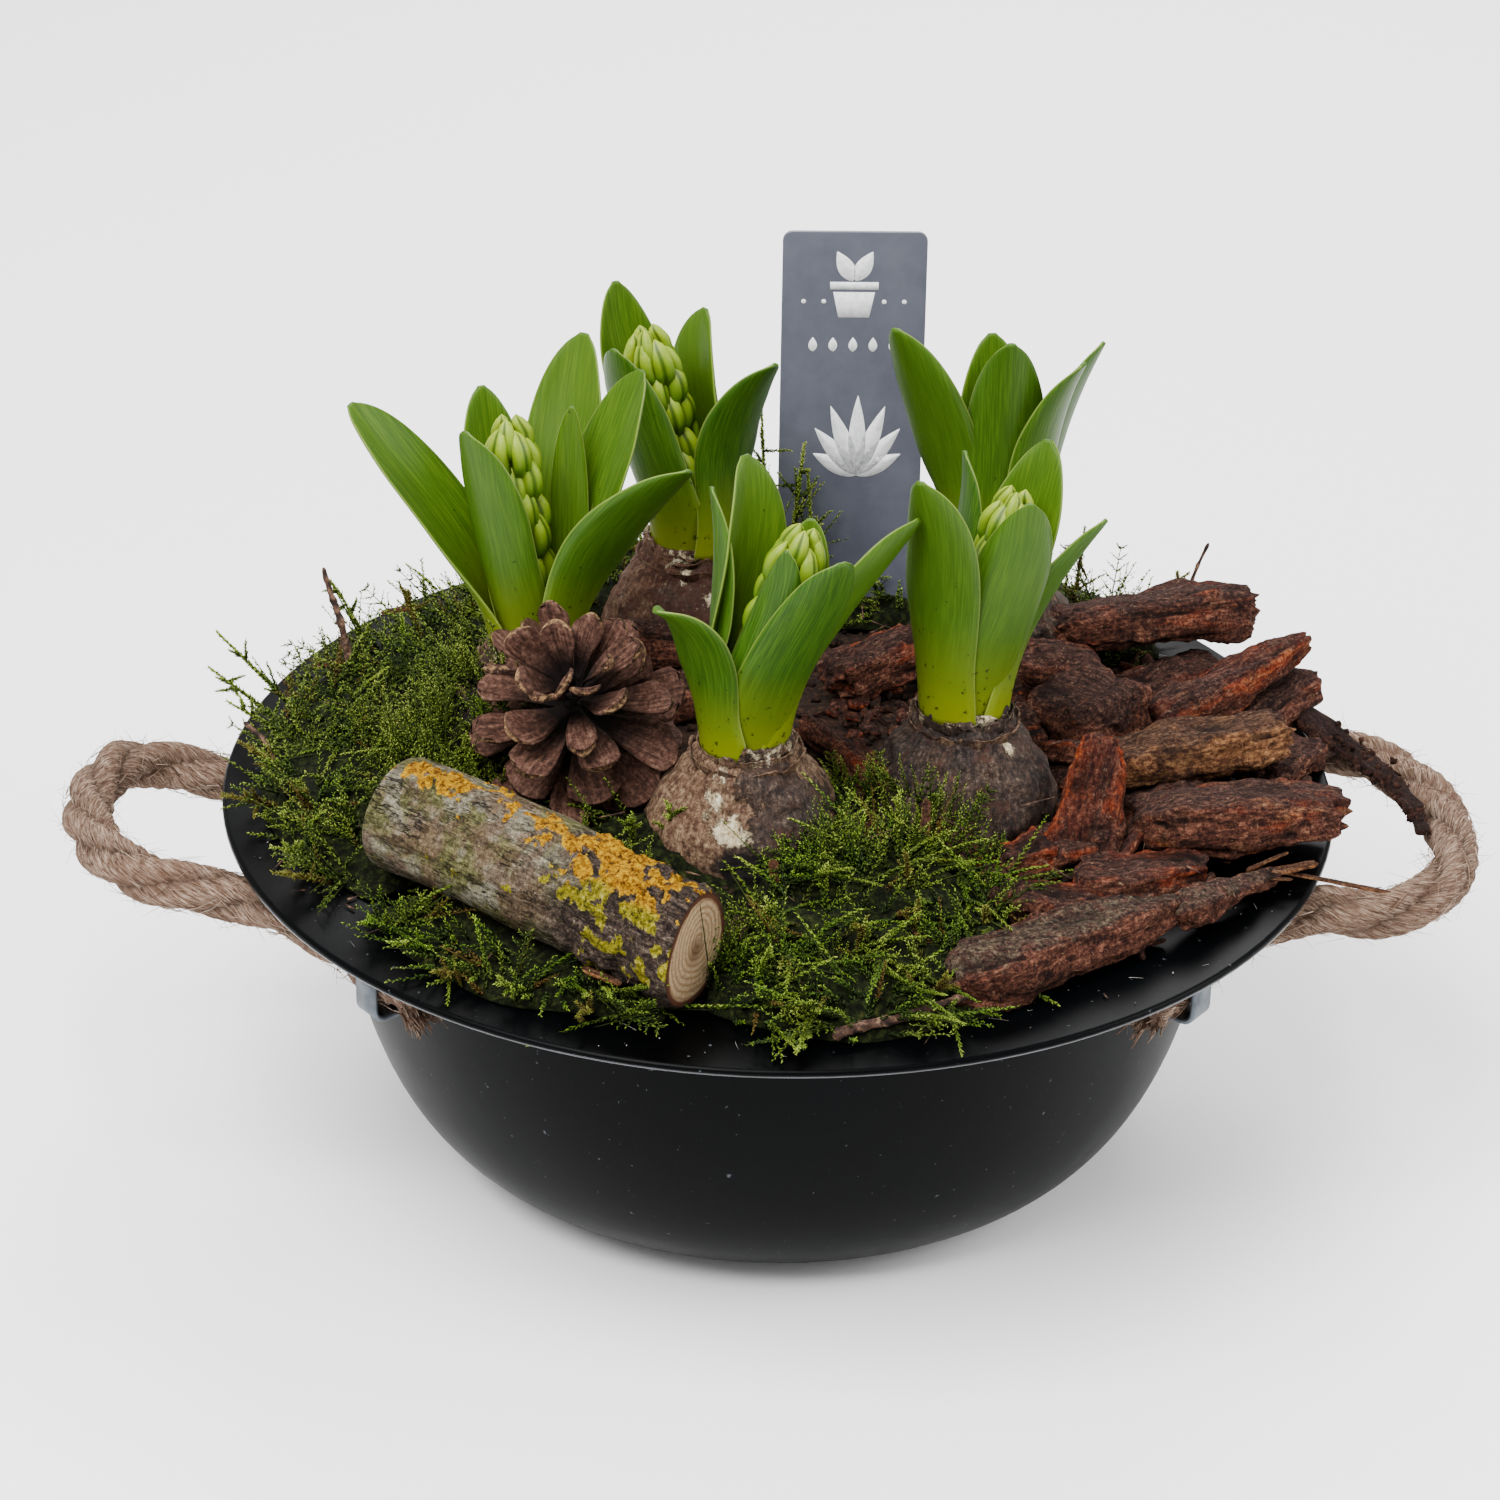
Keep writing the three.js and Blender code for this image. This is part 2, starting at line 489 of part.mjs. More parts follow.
function coneSolid() {
  const axis = coneAxis();
  const along = (s) => vector(CONE.at).addScaledVector(axis, s);
  const core = [[-1, 0.5], [-0.4, 1], [0.4, 0.9], [0.95, 0.4]].map(([s, r]) => (
    ringAt(along(s * CONE.half), axis, 9 * r, 8)));
  const solids = [loft(core)];
  for (let i = 0; i < CONE.scales; i++) {
    const t = (i + 0.5) / CONE.scales;
    const level = (t * 1.85 - 0.95) * CONE.half;
    const [spoke] = ringAt(new THREE.Vector3(), axis, 1, 1, radians(137.5) * i);
    const splay = radians(THREE.MathUtils.lerp(100, 30, t ** 1.6));
    const heading = spoke.clone().multiplyScalar(Math.sin(splay)).addScaledVector(axis, Math.cos(splay));
    const side = axis.clone().cross(spoke).normalize();
    const through = heading.clone().cross(side).normalize();
    const length = CONE.reach * (0.7 + 0.34 * Math.sin(Math.PI * (0.25 + 0.6 * t)));
    const root = along(level).addScaledVector(spoke, 4);
    const section = (u, half, thick) => [[-1, -1], [1, -1], [1, 1], [-1, 1]].map(([p, q]) => (
      root.clone().addScaledVector(heading, length * u).addScaledVector(side, p * half)
        .addScaledVector(through, (q * thick) / 2)));
    const taper = 0.6 + 0.4 * Math.sin(Math.PI * Math.min(1, t + 0.2));
    solids.push(loft([section(0.7, 6.6 * taper, 2.6), section(1, 4.6 * taper, 4)], root));
  }
  return wasm.Manifold.union(solids);
}

// Branch: a slightly crooked round of wood, sawn square at both ends
function branchSolid(grow = 0) {
  const [from, to] = [vector(BRANCH.from), vector(BRANCH.to)];
  const heading = to.clone().sub(from).normalize();
  const random = seeded(31);
  const rings = [0, 0.2, 0.42, 0.6, 0.8, 1].map((t) => {
    const centre = from.clone().lerp(to, t).addScaledVector(UP, 1.6 * Math.sin(Math.PI * t));
    centre.addScaledVector(heading, grow * (2 * t - 1));
    const girth = BRANCH.radius * (0.97 + 0.06 * random());
    return ringAt(centre, heading, 1, 14).map((p, i) => (
      centre.clone().lerp(p, girth * (1 + 0.035 * Math.sin(3 * i + 9 * t)) + grow)));
  });
  return loft(rings);
}

// Bark chip: a split slab with blunt, broken ends
function chipSolid(chip, seed, grow = 0) {
  const random = seeded(seed);
  const [length, width, gauge] = chip.size;
  const turn = new THREE.Matrix4().makeRotationFromEuler(
    new THREE.Euler(radians(chip.roll), radians(-chip.pitch), radians(chip.turn), 'ZYX'));
  const ends = [[-0.5, 0.6], [-0.28, 1], [0.3, 0.95], [0.5, 0.55]];
  const rings = ends.map(([t, size]) => {
    const skew = (random() - 0.5) * 0.18;
    return Array.from({ length: 6 }, (_, i) => {
      const angle = (i / 6) * 2 * Math.PI + 0.4;
      const rough = size * (0.9 + 0.2 * random());
      const squared = (v) => Math.sign(v) * Math.abs(v) ** 0.75;
      const y = squared(Math.cos(angle)) * (width / 2) * rough + Math.cos(angle) * grow + skew * width;
      const z = squared(Math.sin(angle)) * (gauge / 2) * rough + Math.sin(angle) * grow;
      const x = t * length + Math.sign(t) * grow + (random() - 0.5) * 2;
      return new THREE.Vector3(x, y, z).applyMatrix4(turn).add(vector(chip.at));
    });
  });
  return loft(rings);
}

function twigSolid(twig, grow = 0) {
  const [from, to] = [vector(twig.from), vector(twig.to)];
  const heading = to.clone().sub(from).normalize();
  const bend = new THREE.Vector3(0, 0, twig.radius * 0.8);
  const rings = [0, 0.35, 1].map((t, i) => {
    const centre = from.clone().lerp(to, t).addScaledVector(bend, i % 2);
    centre.addScaledVector(heading, grow * (2 * t - 1));
    return ringAt(centre, heading, twig.radius * (1 - 0.45 * t) + grow, 5);
  });
  return loft(rings);
}

// Moss cushion: a patch of uneven height on the fill and the rim, with sprigs standing out of it
function mossSolid(moss, seed, grow = 0) {
  const random = seeded(seed);
  const phases = [random() * 6, random() * 6, random() * 6];
  const base = (x, y) => Math.max(fillHeight(x, y), HEIGHT) + CLEARANCE + 0.1;
  const [front, back] = [[], []];
  const [steps, bands] = [Math.round((moss.to - moss.from) / 9), 4];
  for (let r = 0; r <= steps; r++) {
    const u = r / steps;
    const narrow = 0.35 + 0.65 * Math.sin(Math.PI * (0.08 + 0.84 * u)) ** 0.5;
    const turn = THREE.MathUtils.lerp(moss.from - grow, moss.to + grow, u);
    const [upper, lower] = [[], []];
    for (let c = 0; c <= bands; c++) {
      const v = (2 * c) / bands - 1;
      const wave = 3 * Math.sin(9 * u + phases[0]) + 2 * Math.sin(17 * u + phases[1]);
      const spread = (moss.outer - moss.inner) / 2 * narrow + grow;
      const edge = (moss.inner + moss.outer) / 2 + v * spread + wave * (1 - v * 0.6);
      const radius = Math.min(edge, MOSS_EDGE);
      const spot = outward(turn).multiplyScalar(radius);
      const rim = (1 - v ** 4) * Math.min(1, 6 * Math.min(u, 1 - u) + 0.2);
      const lump = 0.82 + 0.18 * Math.sin(5 * c + phases[2]) * Math.cos(3 * r + phases[0]);
      const ground = base(spot.x, spot.y);
      lower.push(spot.clone().setZ(ground - grow));
      upper.push(spot.clone().setZ(ground + 2.5 + moss.thick * rim * lump + grow));
    }
    front.push(upper);
    back.push(lower);
  }
  const solids = [blade(front, back)];
  for (const [turn, radius, height, lean] of grow ? [] : moss.sprigs) {
    const spot = outward(turn).multiplyScalar(radius);
    const root = spot.clone().setZ(base(spot.x, spot.y) + 2);
    const out = outward(turn + 40 * (random() - 0.5)).multiplyScalar(Math.sin(radians(lean)));
    const heading = out.addScaledVector(UP, Math.cos(radians(lean)));
    const tip = root.clone().addScaledVector(heading, height + 4);
    const bow = root.clone().addScaledVector(heading, height * 0.6).addScaledVector(outward(turn + 90), 2);
    solids.push(loft([ringAt(root, heading, 2.6, 3), ringAt(bow, heading, 1.7, 3)], undefined, tip));
  }
  return wasm.Manifold.union(solids);
}

// Fill: potting soil from the bowl's bottom to the crown, with pockets where things stand in it
function soilSolid() {
  const floor = [[0, WALL + CLEARANCE], [BASE_RADIUS - 2, WALL + CLEARANCE]];
  const wall = [12, 40, 100].map((z) => [wallRadius(z) - WALL - 1.4, z]);
  const brim = HEIGHT - 5;
  const crown = [[125.5, brim], ...[118, 96, 64, 0].map((r) => [r, SOIL_TOP])];
  return turned([...floor, ...wall, ...crown], 24).warp((point) => {
    if (point[2] > brim + 1) point[2] = fillHeight(point[0], point[1]);
  });
}

// Plant label: a card with rounded top corners and a pointed foot, leaning back a little
function labelSolid(grow = 0) {
  const { width, length, gauge, corner } = LABEL;
  const half = width / 2 + grow;
  const shape = new THREE.Shape();
  shape.moveTo(-half, 24).lineTo(-6 - grow, -grow).lineTo(6 + grow, -grow).lineTo(half, 24);
  shape.lineTo(half, length - corner).absarc(half - corner, length - corner, corner, 0, Math.PI / 2);
  shape.lineTo(corner - half, length).absarc(corner - half, length - corner, corner, Math.PI / 2, Math.PI);
  const depth = gauge + 2 * grow;
  const geometry = new THREE.ExtrudeGeometry(shape, { depth, bevelEnabled: false, curveSegments: 4 });
  geometry.translate(0, 0, -depth / 2).rotateX(Math.PI / 2).rotateX(radians(-2)).rotateZ(radians(2));
  return toSolid(mergeVertices(geometry)).translate(19.5, 103, 97);
}

// Assembly, from what yields least to what yields most

const planter = new THREE.Group();
const planting = new THREE.Group();
part.add(planter, planting);

const steel = new THREE.MeshStandardMaterial({ color: COLOURS.bowl, roughness: 0.42, metalness: 0 });
const bowl = new THREE.Mesh(toGeometry(bowlSolid()), steel);
bowl.name = 'bowl';
planter.add(bowl);

for (const [corner, turn] of Object.entries(CLIP_TURNS)) {
  const metal = new THREE.MeshStandardMaterial({ color: COLOURS.strap, roughness: 0.4, metalness: 1 });
  const clip = new THREE.Mesh(clipGeometry(), metal);
  clip.name = `rope_clip_${corner}`;
  clip.rotation.z = radians(turn);
  planter.add(clip);
}

for (const [side, route] of [['left', ROPE_LEFT], ['right', ROPE_RIGHT]]) {
  const jute = new THREE.MeshStandardMaterial({ color: COLOURS.rope, roughness: 0.95, metalness: 0 });
  const rope = new THREE.Mesh(ropeGeometry(route), jute);
  rope.name = `rope_handle_${side}`;
  planter.add(rope);
}

PLANTS.forEach((plant, i) => {
  const neck = vector(plant.neck);
  const bulb = bulbSolid(neck, 40 + i);
  place(planting, `bulb_${plant.name}`, bulb, COLOURS.bulb, 0.75, [bulbSolid(neck, 40 + i, CLEARANCE)]);
});
const bulbs = settled.splice(0);

// Each shoot stands in its own bulb, so shoots are only cut by one another
PLANTS.forEach((plant) => {
  const neck = vector(plant.neck);
  const stalk = stalkSolid(spikeAxis(neck, plant.drift, plant.spike), CLEARANCE);
  const leaves = plant.leaves.map((leaf) => leafSolid(neck, plant.drift, leaf));
  const shoot = wasm.Manifold.union([sheathSolid(neck), ...leaves]).subtract(stalk);
  const swollen = plant.leaves.map((leaf) => leafSolid(neck, plant.drift, leaf, CLEARANCE));
  const room = wasm.Manifold.union([sheathSolid(neck, CLEARANCE), ...swollen]).subtract(stalk);
  place(planting, `leaves_${plant.name}`, shoot, COLOURS.leaf, 0.45, [room]);
});
PLANTS.forEach((plant) => {
  const spike = spikeSolid(vector(plant.neck), plant);
  place(planting, `flower_spike_${plant.name}`, spike, COLOURS.bud, 0.5);
});
settled.push(...bulbs, bowlSolid(CLEARANCE));
place(planting, 'pine_cone', coneSolid(), COLOURS.cone, 0.7, [coneHollow()]);
place(planting, 'branch', branchSolid(), COLOURS.branch, 0.9, [branchSolid(CLEARANCE)]);
CHIPS.forEach((chip, i) => {
  const name = `bark_chip_${String(i + 1).padStart(2, '0')}`;
  place(planting, name, chipSolid(chip, 100 + i), COLOURS.bark, 0.9, [chipSolid(chip, 100 + i, CLEARANCE)]);
});
TWIGS.forEach((twig, i) => {
  place(planting, `twig_${i + 1}`, twigSolid(twig), COLOURS.bark, 0.9, [twigSolid(twig, CLEARANCE)]);
});
place(planting, 'plant_label', labelSolid(), COLOURS.label, 0.5, [labelSolid(CLEARANCE)]);
const soil = soilSolid();
place(planting, 'soil', soil, COLOURS.soil, 1);
settled.push(soil);
MOSSES.forEach((moss, i) => {
  const swollen = [mossSolid(moss, 60 + i, CLEARANCE)];
  place(planting, `moss_${moss.name}`, mossSolid(moss, 60 + i), COLOURS.moss, 1, swollen);
});

export default part;
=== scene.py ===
import functools
import math

import bpy
import numpy as np
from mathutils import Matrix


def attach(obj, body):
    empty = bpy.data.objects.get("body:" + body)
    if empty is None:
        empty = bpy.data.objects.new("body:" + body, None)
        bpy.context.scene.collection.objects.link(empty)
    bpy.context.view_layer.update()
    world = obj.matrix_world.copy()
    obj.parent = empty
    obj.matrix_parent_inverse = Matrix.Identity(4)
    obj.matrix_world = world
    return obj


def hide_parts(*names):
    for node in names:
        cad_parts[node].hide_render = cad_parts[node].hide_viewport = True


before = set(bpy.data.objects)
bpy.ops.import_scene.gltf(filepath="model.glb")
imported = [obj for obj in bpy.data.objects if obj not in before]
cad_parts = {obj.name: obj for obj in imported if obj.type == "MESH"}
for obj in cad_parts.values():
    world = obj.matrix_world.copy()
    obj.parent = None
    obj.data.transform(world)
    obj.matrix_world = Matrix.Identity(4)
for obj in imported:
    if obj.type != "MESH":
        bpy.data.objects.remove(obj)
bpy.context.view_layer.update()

up = np.array([0.0, 0.0, 1.0])

# Everything below is worked out in millimetres in the part's frame; meshOf turns it into metres.
# Rows of points are arrays, so each formula works on all points of a piece at once.
# "direction" is a level unit vector at a turn in degrees from +X, "smooth" runs 0 to 1 with soft ends.


def spokes(angle):
    # level unit vectors at angles in radians
    return np.stack([np.cos(angle), np.sin(angle), np.zeros_like(angle, dtype=float)], -1)


def direction(degrees):
    return spokes(np.radians(np.asarray(degrees, float)))


def fullTurn(count):
    return np.linspace(0, 2 * np.pi, count, endpoint=False)


def around(angle, first, second):
    # points of a unit circle that two vectors span
    return np.cos(angle)[..., None] * first + np.sin(angle)[..., None] * second


def unit(vectors):
    # each vector at length 1
    return vectors / np.maximum(np.linalg.norm(vectors, axis=-1, keepdims=True), 1e-12)


def smooth(x):
    x = np.clip(x, 0, 1)
    return x * x * (3 - 2 * x)


def mulberry(seed):
    # the repeatable random numbers that the part's own bulbs and moss are drawn with
    state = seed

    def draw():
        nonlocal state
        state = (state + 0x6D2B79F5) & 0xFFFFFFFF
        mixed = ((state ^ (state >> 15)) * (1 | state)) & 0xFFFFFFFF
        mixed = ((mixed + (((mixed ^ (mixed >> 7)) * (61 | mixed)) & 0xFFFFFFFF)) & 0xFFFFFFFF) ^ mixed
        return (mixed ^ (mixed >> 14)) / 4294967296

    return draw


def lump(points, cell, seed=0):
    # value noise from -1 to 1: random numbers on a cubic lattice, blended by smooth weights
    place = np.asarray(points, float) / cell + 512.5 + seed * 17.31
    base = np.floor(place).astype(np.int64)
    part = place - base
    part = part * part * (3 - 2 * part)
    total = np.zeros(place.shape[:-1])
    for corner in range(8):
        step = np.array([corner & 1, corner >> 1 & 1, corner >> 2 & 1])
        c = (base + step).astype(np.uint32)
        mixed = c[..., 0] * np.uint32(374761393) ^ c[..., 1] * np.uint32(668265263)
        mixed = mixed ^ c[..., 2] * np.uint32(2246822519)
        mixed = (mixed ^ (mixed >> np.uint32(13))) * np.uint32(1274126177)
        mixed = mixed ^ (mixed >> np.uint32(16))
        weight = np.prod(np.where(step == 1, part, 1 - part), axis=-1)
        total += weight * (mixed / 4294967295.0 * 2 - 1)
    return total


def fractal(points, cell, octaves=3, seed=0):
    # noise over noise, each half as large and half as strong
    return sum(0.5**k * lump(points, cell / 2**k, seed + 7 * k) for k in range(octaves))


def throughPoints(points, count):
    # Catmull-Rom curve through the points, set out again at equal steps; gives the curve and its length
    p = np.asarray(points, float)
    p = np.vstack([2 * p[0] - p[1], p, 2 * p[-1] - p[-2]])
    t = np.linspace(0, len(p) - 3, 40 * (len(p) - 3) + 1)
    i = np.minimum(t.astype(int), len(p) - 4)
    f = (t - i)[:, None]
    a, b, c, d = p[i], p[i + 1], p[i + 2], p[i + 3]
    curve = 2 * b + (c - a) * f + (2 * a - 5 * b + 4 * c - d) * f**2 + (3 * b - a - 3 * c + d) * f**3
    curve = curve / 2
    reach = np.concatenate([[0], np.cumsum(np.linalg.norm(np.diff(curve, axis=0), axis=1))])
    at = np.linspace(0, reach[-1], count)
    return np.stack([np.interp(at, reach, curve[:, k]) for k in range(p.shape[1])], 1), reach[-1]


def tubes(rings, starts=None, ends=None, **values):
    # closed tubes: rings is (tube, row, point, xyz); each end is closed by a fan to one point.
    # Each value is a number or a vector that broadcasts to the ring points; end points take means.
    count, rows, sides, _ = rings.shape
    starts = rings[:, 0].mean(1) if starts is None else starts
    ends = rings[:, -1].mean(1) if ends is None else ends
    points = np.concatenate([rings.reshape(count, rows * sides, 3), starts[:, None], ends[:, None]], 1)
    i = (np.arange(rows - 1) * sides)[:, None]
    j = np.arange(sides)[None]
    k = (j + 1) % sides
    quads = np.stack([i + j, i + k, i + sides + k, i + sides + j], -1).reshape(-1, 4)
    j, k, final = j[0], k[0], (rows - 1) * sides
    first, last = np.full(sides, rows * sides), np.full(sides, rows * sides + 1)
    fans = np.concatenate([np.stack([first, k, j], 1), np.stack([last, final + j, final + k], 1)])
    shift = (np.arange(count) * (rows * sides + 2))[:, None, None]
    carried = {}
    for name, value in values.items():
        value = np.asarray(value, float)
        shape = (count, rows, sides) + ((3,) if name == "grain" else ())
        value = np.broadcast_to(value, shape).reshape((count, rows * sides) + shape[3:])
        ending = value[:, :sides].mean(1)[:, None], value[:, -sides:].mean(1)[:, None]
        carried[name] = np.concatenate([value, *ending], 1).reshape((-1,) + shape[3:])
    return {"points": points.reshape(-1, 3), "quads": (quads[None] + shift).reshape(-1, 4),
            "fans": (fans[None] + shift).reshape(-1, 3), "values": carried}


def joined(shapes):
    # several shapes as one; all carry the same values
    starts = np.cumsum([0] + [len(s["points"]) for s in shapes])
    return {"points": np.concatenate([s["points"] for s in shapes]),
            "quads": np.concatenate([s["quads"] + n for s, n in zip(shapes, starts)]),
            "fans": np.concatenate([s["fans"] + n for s, n in zip(shapes, starts)]),
            "values": {key: np.concatenate([s["values"][key] for s in shapes])
                       for key in shapes[0]["values"]}}


def meshOf(name, shape):
    # the arrays as a Blender mesh in metres, faces turned out by the sign of the volume
    points = shape["points"] * 0.001
    quads, fans = shape["quads"], shape["fans"]
    corners = [quads[:, [0, 1, 2]], quads[:, [0, 2, 3]], fans]
    volume = sum((points[f[:, 0]] * np.cross(points[f[:, 1]], points[f[:, 2]])).sum() for f in corners)
    if volume < 0:
        quads, fans = quads[:, ::-1], fans[:, ::-1]
    mesh = bpy.data.meshes.new(name)
    mesh.vertices.add(len(points))
    mesh.vertices.foreach_set("co", points.astype(np.float32).ravel())
    loops = np.concatenate([quads.ravel(), fans.ravel()]).astype(np.int32)
    mesh.loops.add(len(loops))
    mesh.loops.foreach_set("vertex_index", loops)
    begins = np.concatenate([np.arange(len(quads)) * 4, 4 * len(quads) + np.arange(len(fans)) * 3])
    mesh.polygons.add(len(begins))
    mesh.polygons.foreach_set("loop_start", begins.astype(np.int32))
    mesh.update(calc_edges=True)
    for key, value in shape["values"].items():
        kind, field = ("FLOAT_VECTOR", "vector") if value.ndim == 2 else ("FLOAT", "value")
        layer = mesh.attributes.new(key, kind, "POINT")
        layer.data.foreach_set(field, value.astype(np.float32).ravel())
    mesh.validate()
    mesh.shade_smooth()
    return mesh


def piece(name, shape, material, slot, *nodes):
    # a visible piece in place of the solids that it stands for, which are hidden
    made = bpy.data.objects.new(name, meshOf(name, shape))
    bpy.context.scene.collection.objects.link(made)
    made.data.materials.append(material)
    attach(made, "root")
    if nodes:
        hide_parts(*nodes)
    return made


def colour(text):
    # sRGB hex to the linear numbers that Blender mixes
    values = [int(text[i:i + 2], 16) / 255 for i in (1, 3, 5)]
    return [v / 12.92 if v <= 0.04045 else ((v + 0.055) / 1.055) ** 2.4 for v in values] + [1.0]


# what add can make: the node, the inputs it takes in order, the output it gives, its settings
nodeKinds = {
    "grain": ("Attribute", (), 1, {"attribute_name": "grain"}),
    "place": ("TexCoord", (), 3, {}),
    "depth": ("SeparateXYZ", (0,), 1, {}),
    "noise": ("TexNoise", ("Vector", "Scale", "Detail", "Roughness"), 0, {}),
    "rings": ("TexWave", ("Vector", "Scale", "Distortion", "Detail", "Detail Scale"), 1,
              {"wave_type": "RINGS", "rings_direction": "SPHERICAL"}),
    "range": ("MapRange", (0, 1, 2, 3, 4), 0, {}),
    "ramp": ("ValToRGB", (0,), 0, {}),
    "mix": ("Mix", (0, 6, 7), 2, {"data_type": "RGBA"}),
    "share": ("Mix", (0, 2, 3), 0, {"data_type": "FLOAT"}),
    "sum": ("Math", (0, 1), 0, {"operation": "ADD"}),
    "less": ("Math", (0, 1), 0, {"operation": "SUBTRACT"}),
    "times": ("Math", (0, 1), 0, {"operation": "MULTIPLY"}),
    "timesPlus": ("Math", (0, 1, 2), 0, {"operation": "MULTIPLY_ADD"}),
    "size": ("Math", (0,), 0, {"operation": "ABSOLUTE"}),
    "near": ("Math", (0, 1, 2), 0, {"operation": "COMPARE"}),
    "bump": ("Bump", ("Strength", "Distance", "Height"), 0, {}),
}
# values that the meshes carry point by point are asked for by their names
nodeKinds.update({name: ("Attribute", (), 2, {"attribute_name": name}) for name in (
    "rise", "edge", "inner", "tone", "peel", "soot", "rust", "cut", "rough", "radius", "lichen", "pale", "outer",
    "crust", "straw", "hollow")})


def add(tree, kind, *inputs, stops=(), **settings):
    # one node; an input is a socket to join, a number or a colour; stops fill a colour ramp
    node, slots, output, fixed = nodeKinds[kind]
    made = tree.nodes.new("ShaderNode" + node)
    for key, value in {**fixed, **settings}.items():
        setattr(made, key, value)
    for slot, value in zip(slots, inputs):
        if isinstance(value, bpy.types.NodeSocket):
            tree.links.new(value, made.inputs[slot])
        else:
            made.inputs[slot].default_value = colour(value) if isinstance(value, str) else value
    if stops:
        ramp = made.color_ramp.elements
        while len(ramp) < len(stops):
            ramp.new(0.5)
        for element, (position, shade) in zip(ramp, stops):
            element.position, element.color = position, colour(shade)
    return made.outputs[output]


def begun(name, **numbers):
    # a new material with the shader's own numbers set, and add bound to its tree
    material = bpy.data.materials.new(name)
    material.use_nodes = True
    for key, value in numbers.items():
        material.node_tree.nodes["Principled BSDF"].inputs[key.replace("_", " ")].default_value = value
    return material, functools.partial(add, material.node_tree)


def coated(node, tint, *coats):
    # colours laid over a tint one by one, each by its socket's share or by that share spread from
    # low to high onto two new limits
    for socket, *limits, shade in coats:
        tint = node("mix", node("range", socket, *limits) if limits else socket, tint, shade)
    return tint


def finished(material, tint, height=None, depth=0.0, strength=1.0, rough=None):
    # joins the tint, the relief of the height socket, depth in millimetres, and the roughness
    tree = material.node_tree
    bump = None if height is None else add(tree, "bump", strength, depth * 0.001, height)
    for socket, key in ((tint, "Base Color"), (bump, "Normal"), (rough, "Roughness")):
        if socket is not None:
            tree.links.new(socket, tree.nodes["Principled BSDF"].inputs[key])
    return material


def plainMaterial(name, noise, stops, depth=0.0, strength=1.0, **numbers):
    # one cloud of noise over a ramp of colours, raised by the same cloud
    material, node = begun(name, **numbers)
    cloud = node("noise", node("place"), *noise)
    return finished(material, node("ramp", cloud, stops=stops), cloud if depth else None, depth, strength)


# ---- camera, as the photograph was taken

view = {"target": (0, 0, 110), "distance": 1500, "elevation": 28.46, "roll": 1.25, "lens": 124.5,
        "shift": (-0.0189, 0.0205)}


def makeCamera(v):
    rise = math.radians(v["elevation"])
    towards = np.array([0, -math.cos(rise), math.sin(rise)])
    camera = bpy.data.cameras.new("camera")
    camera.sensor_width, camera.lens = 36, v["lens"]
    camera.shift_x, camera.shift_y = v["shift"]
    camera.clip_start, camera.clip_end = 0.05, 30
    holder = bpy.data.objects.new("camera", camera)
    bpy.context.scene.collection.objects.link(holder)
    holder.location = (np.array(v["target"]) + v["distance"] * towards) * 0.001
    holder.rotation_euler = (math.pi / 2 - rise, 0, 0)
    holder.rotation_mode = "XYZ"
    turn = holder.rotation_euler.to_matrix()
    turn = turn @ type(turn).Rotation(math.radians(v["roll"]), 3, "Z")
    holder.rotation_euler = turn.to_euler()
    bpy.context.scene.camera = holder


makeCamera(view)
print("camera set")

# ---- jute rope handles: three strands laid right-handed, each of loosely twisted yarns

rope = {"radius": 7.5, "strand": 4.55, "lay": 78, "yarns": 7, "yarnTwist": 40, "yarnDepth": 0.75,
        "rings": 240, "sides": 21, "laid": 700, "fuzz": 400, "fray": 120}
ropeRoutes = {
    "right": [
        (101.5, -92.5, 90), (106.4, -85.7, 91.7), (111, -79.2, 92), (115.7, -72.7, 92), (125, -60.5, 93),
        (137, -50.5, 95), (150, -46, 97), (164, -47.5, 97), (178, -45, 98), (189, -35, 99),
        (194, -19, 100), (194, 2, 100), (189, 21, 100), (180, 37, 99), (168, 50, 97), (153, 59, 95),
        (137, 63.5, 93), (122, 70.5, 92), (110.4, 80.6, 92), (105.3, 86.8, 92), (100.2, 93, 91.7),
        (95.2, 99, 90)],
    "left": [
        (-95.2, -99, 90), (-100.2, -93, 91.7), (-105.3, -86.8, 92), (-110.4, -80.6, 92),
        (-121, -67, 92), (-134, -55.5, 93), (-150, -49, 95), (-166, -47, 97), (-181, -41, 98),
        (-193, -28, 99), (-199, -10, 99), (-199, 8, 98), (-194, 26, 96), (-184, 37, 91),
        (-170, 40.5, 86), (-155, 43, 83), (-141, 50, 84), (-127, 60, 88), (-115.7, 72.7, 91.5),
        (-111, 79.2, 92), (-106.4, 85.7, 91.7), (-101.5, 92.5, 90)],
}


def juteMaterial():
    # bast fibre, matt and hairy: fine streaks along the yarns from straw to brown, painted shade in the hollows
    # between strands and yarns
    material, node = begun("twistedJute", Roughness=0.95, Specular_IOR_Level=0.15)
    streak = node("noise", node("grain"), 2.6, 6, 0.75)
    blotch = node("noise", node("place"), 90, 4, 0.6)
    tint = node("ramp", streak, stops=((0.37, "#2b1d14"), (0.46, "#674e3f"), (0.54, "#8d7563"), (0.64, "#b8a694")))
    # painted shade: darker towards the rope's core and between the yarns
    tint = coated(node, tint, (node("hollow"), 0.0, 0.9, 0.0, 0.92, "#2e2018"),
                  (blotch, 0.45, 0.68, 0, 0.5, "#5d4436"))
    return finished(material, tint, streak, 0.9)


def bowed(roots, headings, lengths, bends, t):
    # lines that leave their roots along their headings and bow by their bends: the points at shares
    # t, root + heading * length * t + bend * t squared, and the directions there
    run = headings[:, None] * lengths[:, None, None]
    return roots[:, None] + run * t + bends[:, None] * t**2, unit(run + 2 * bends[:, None] * t)


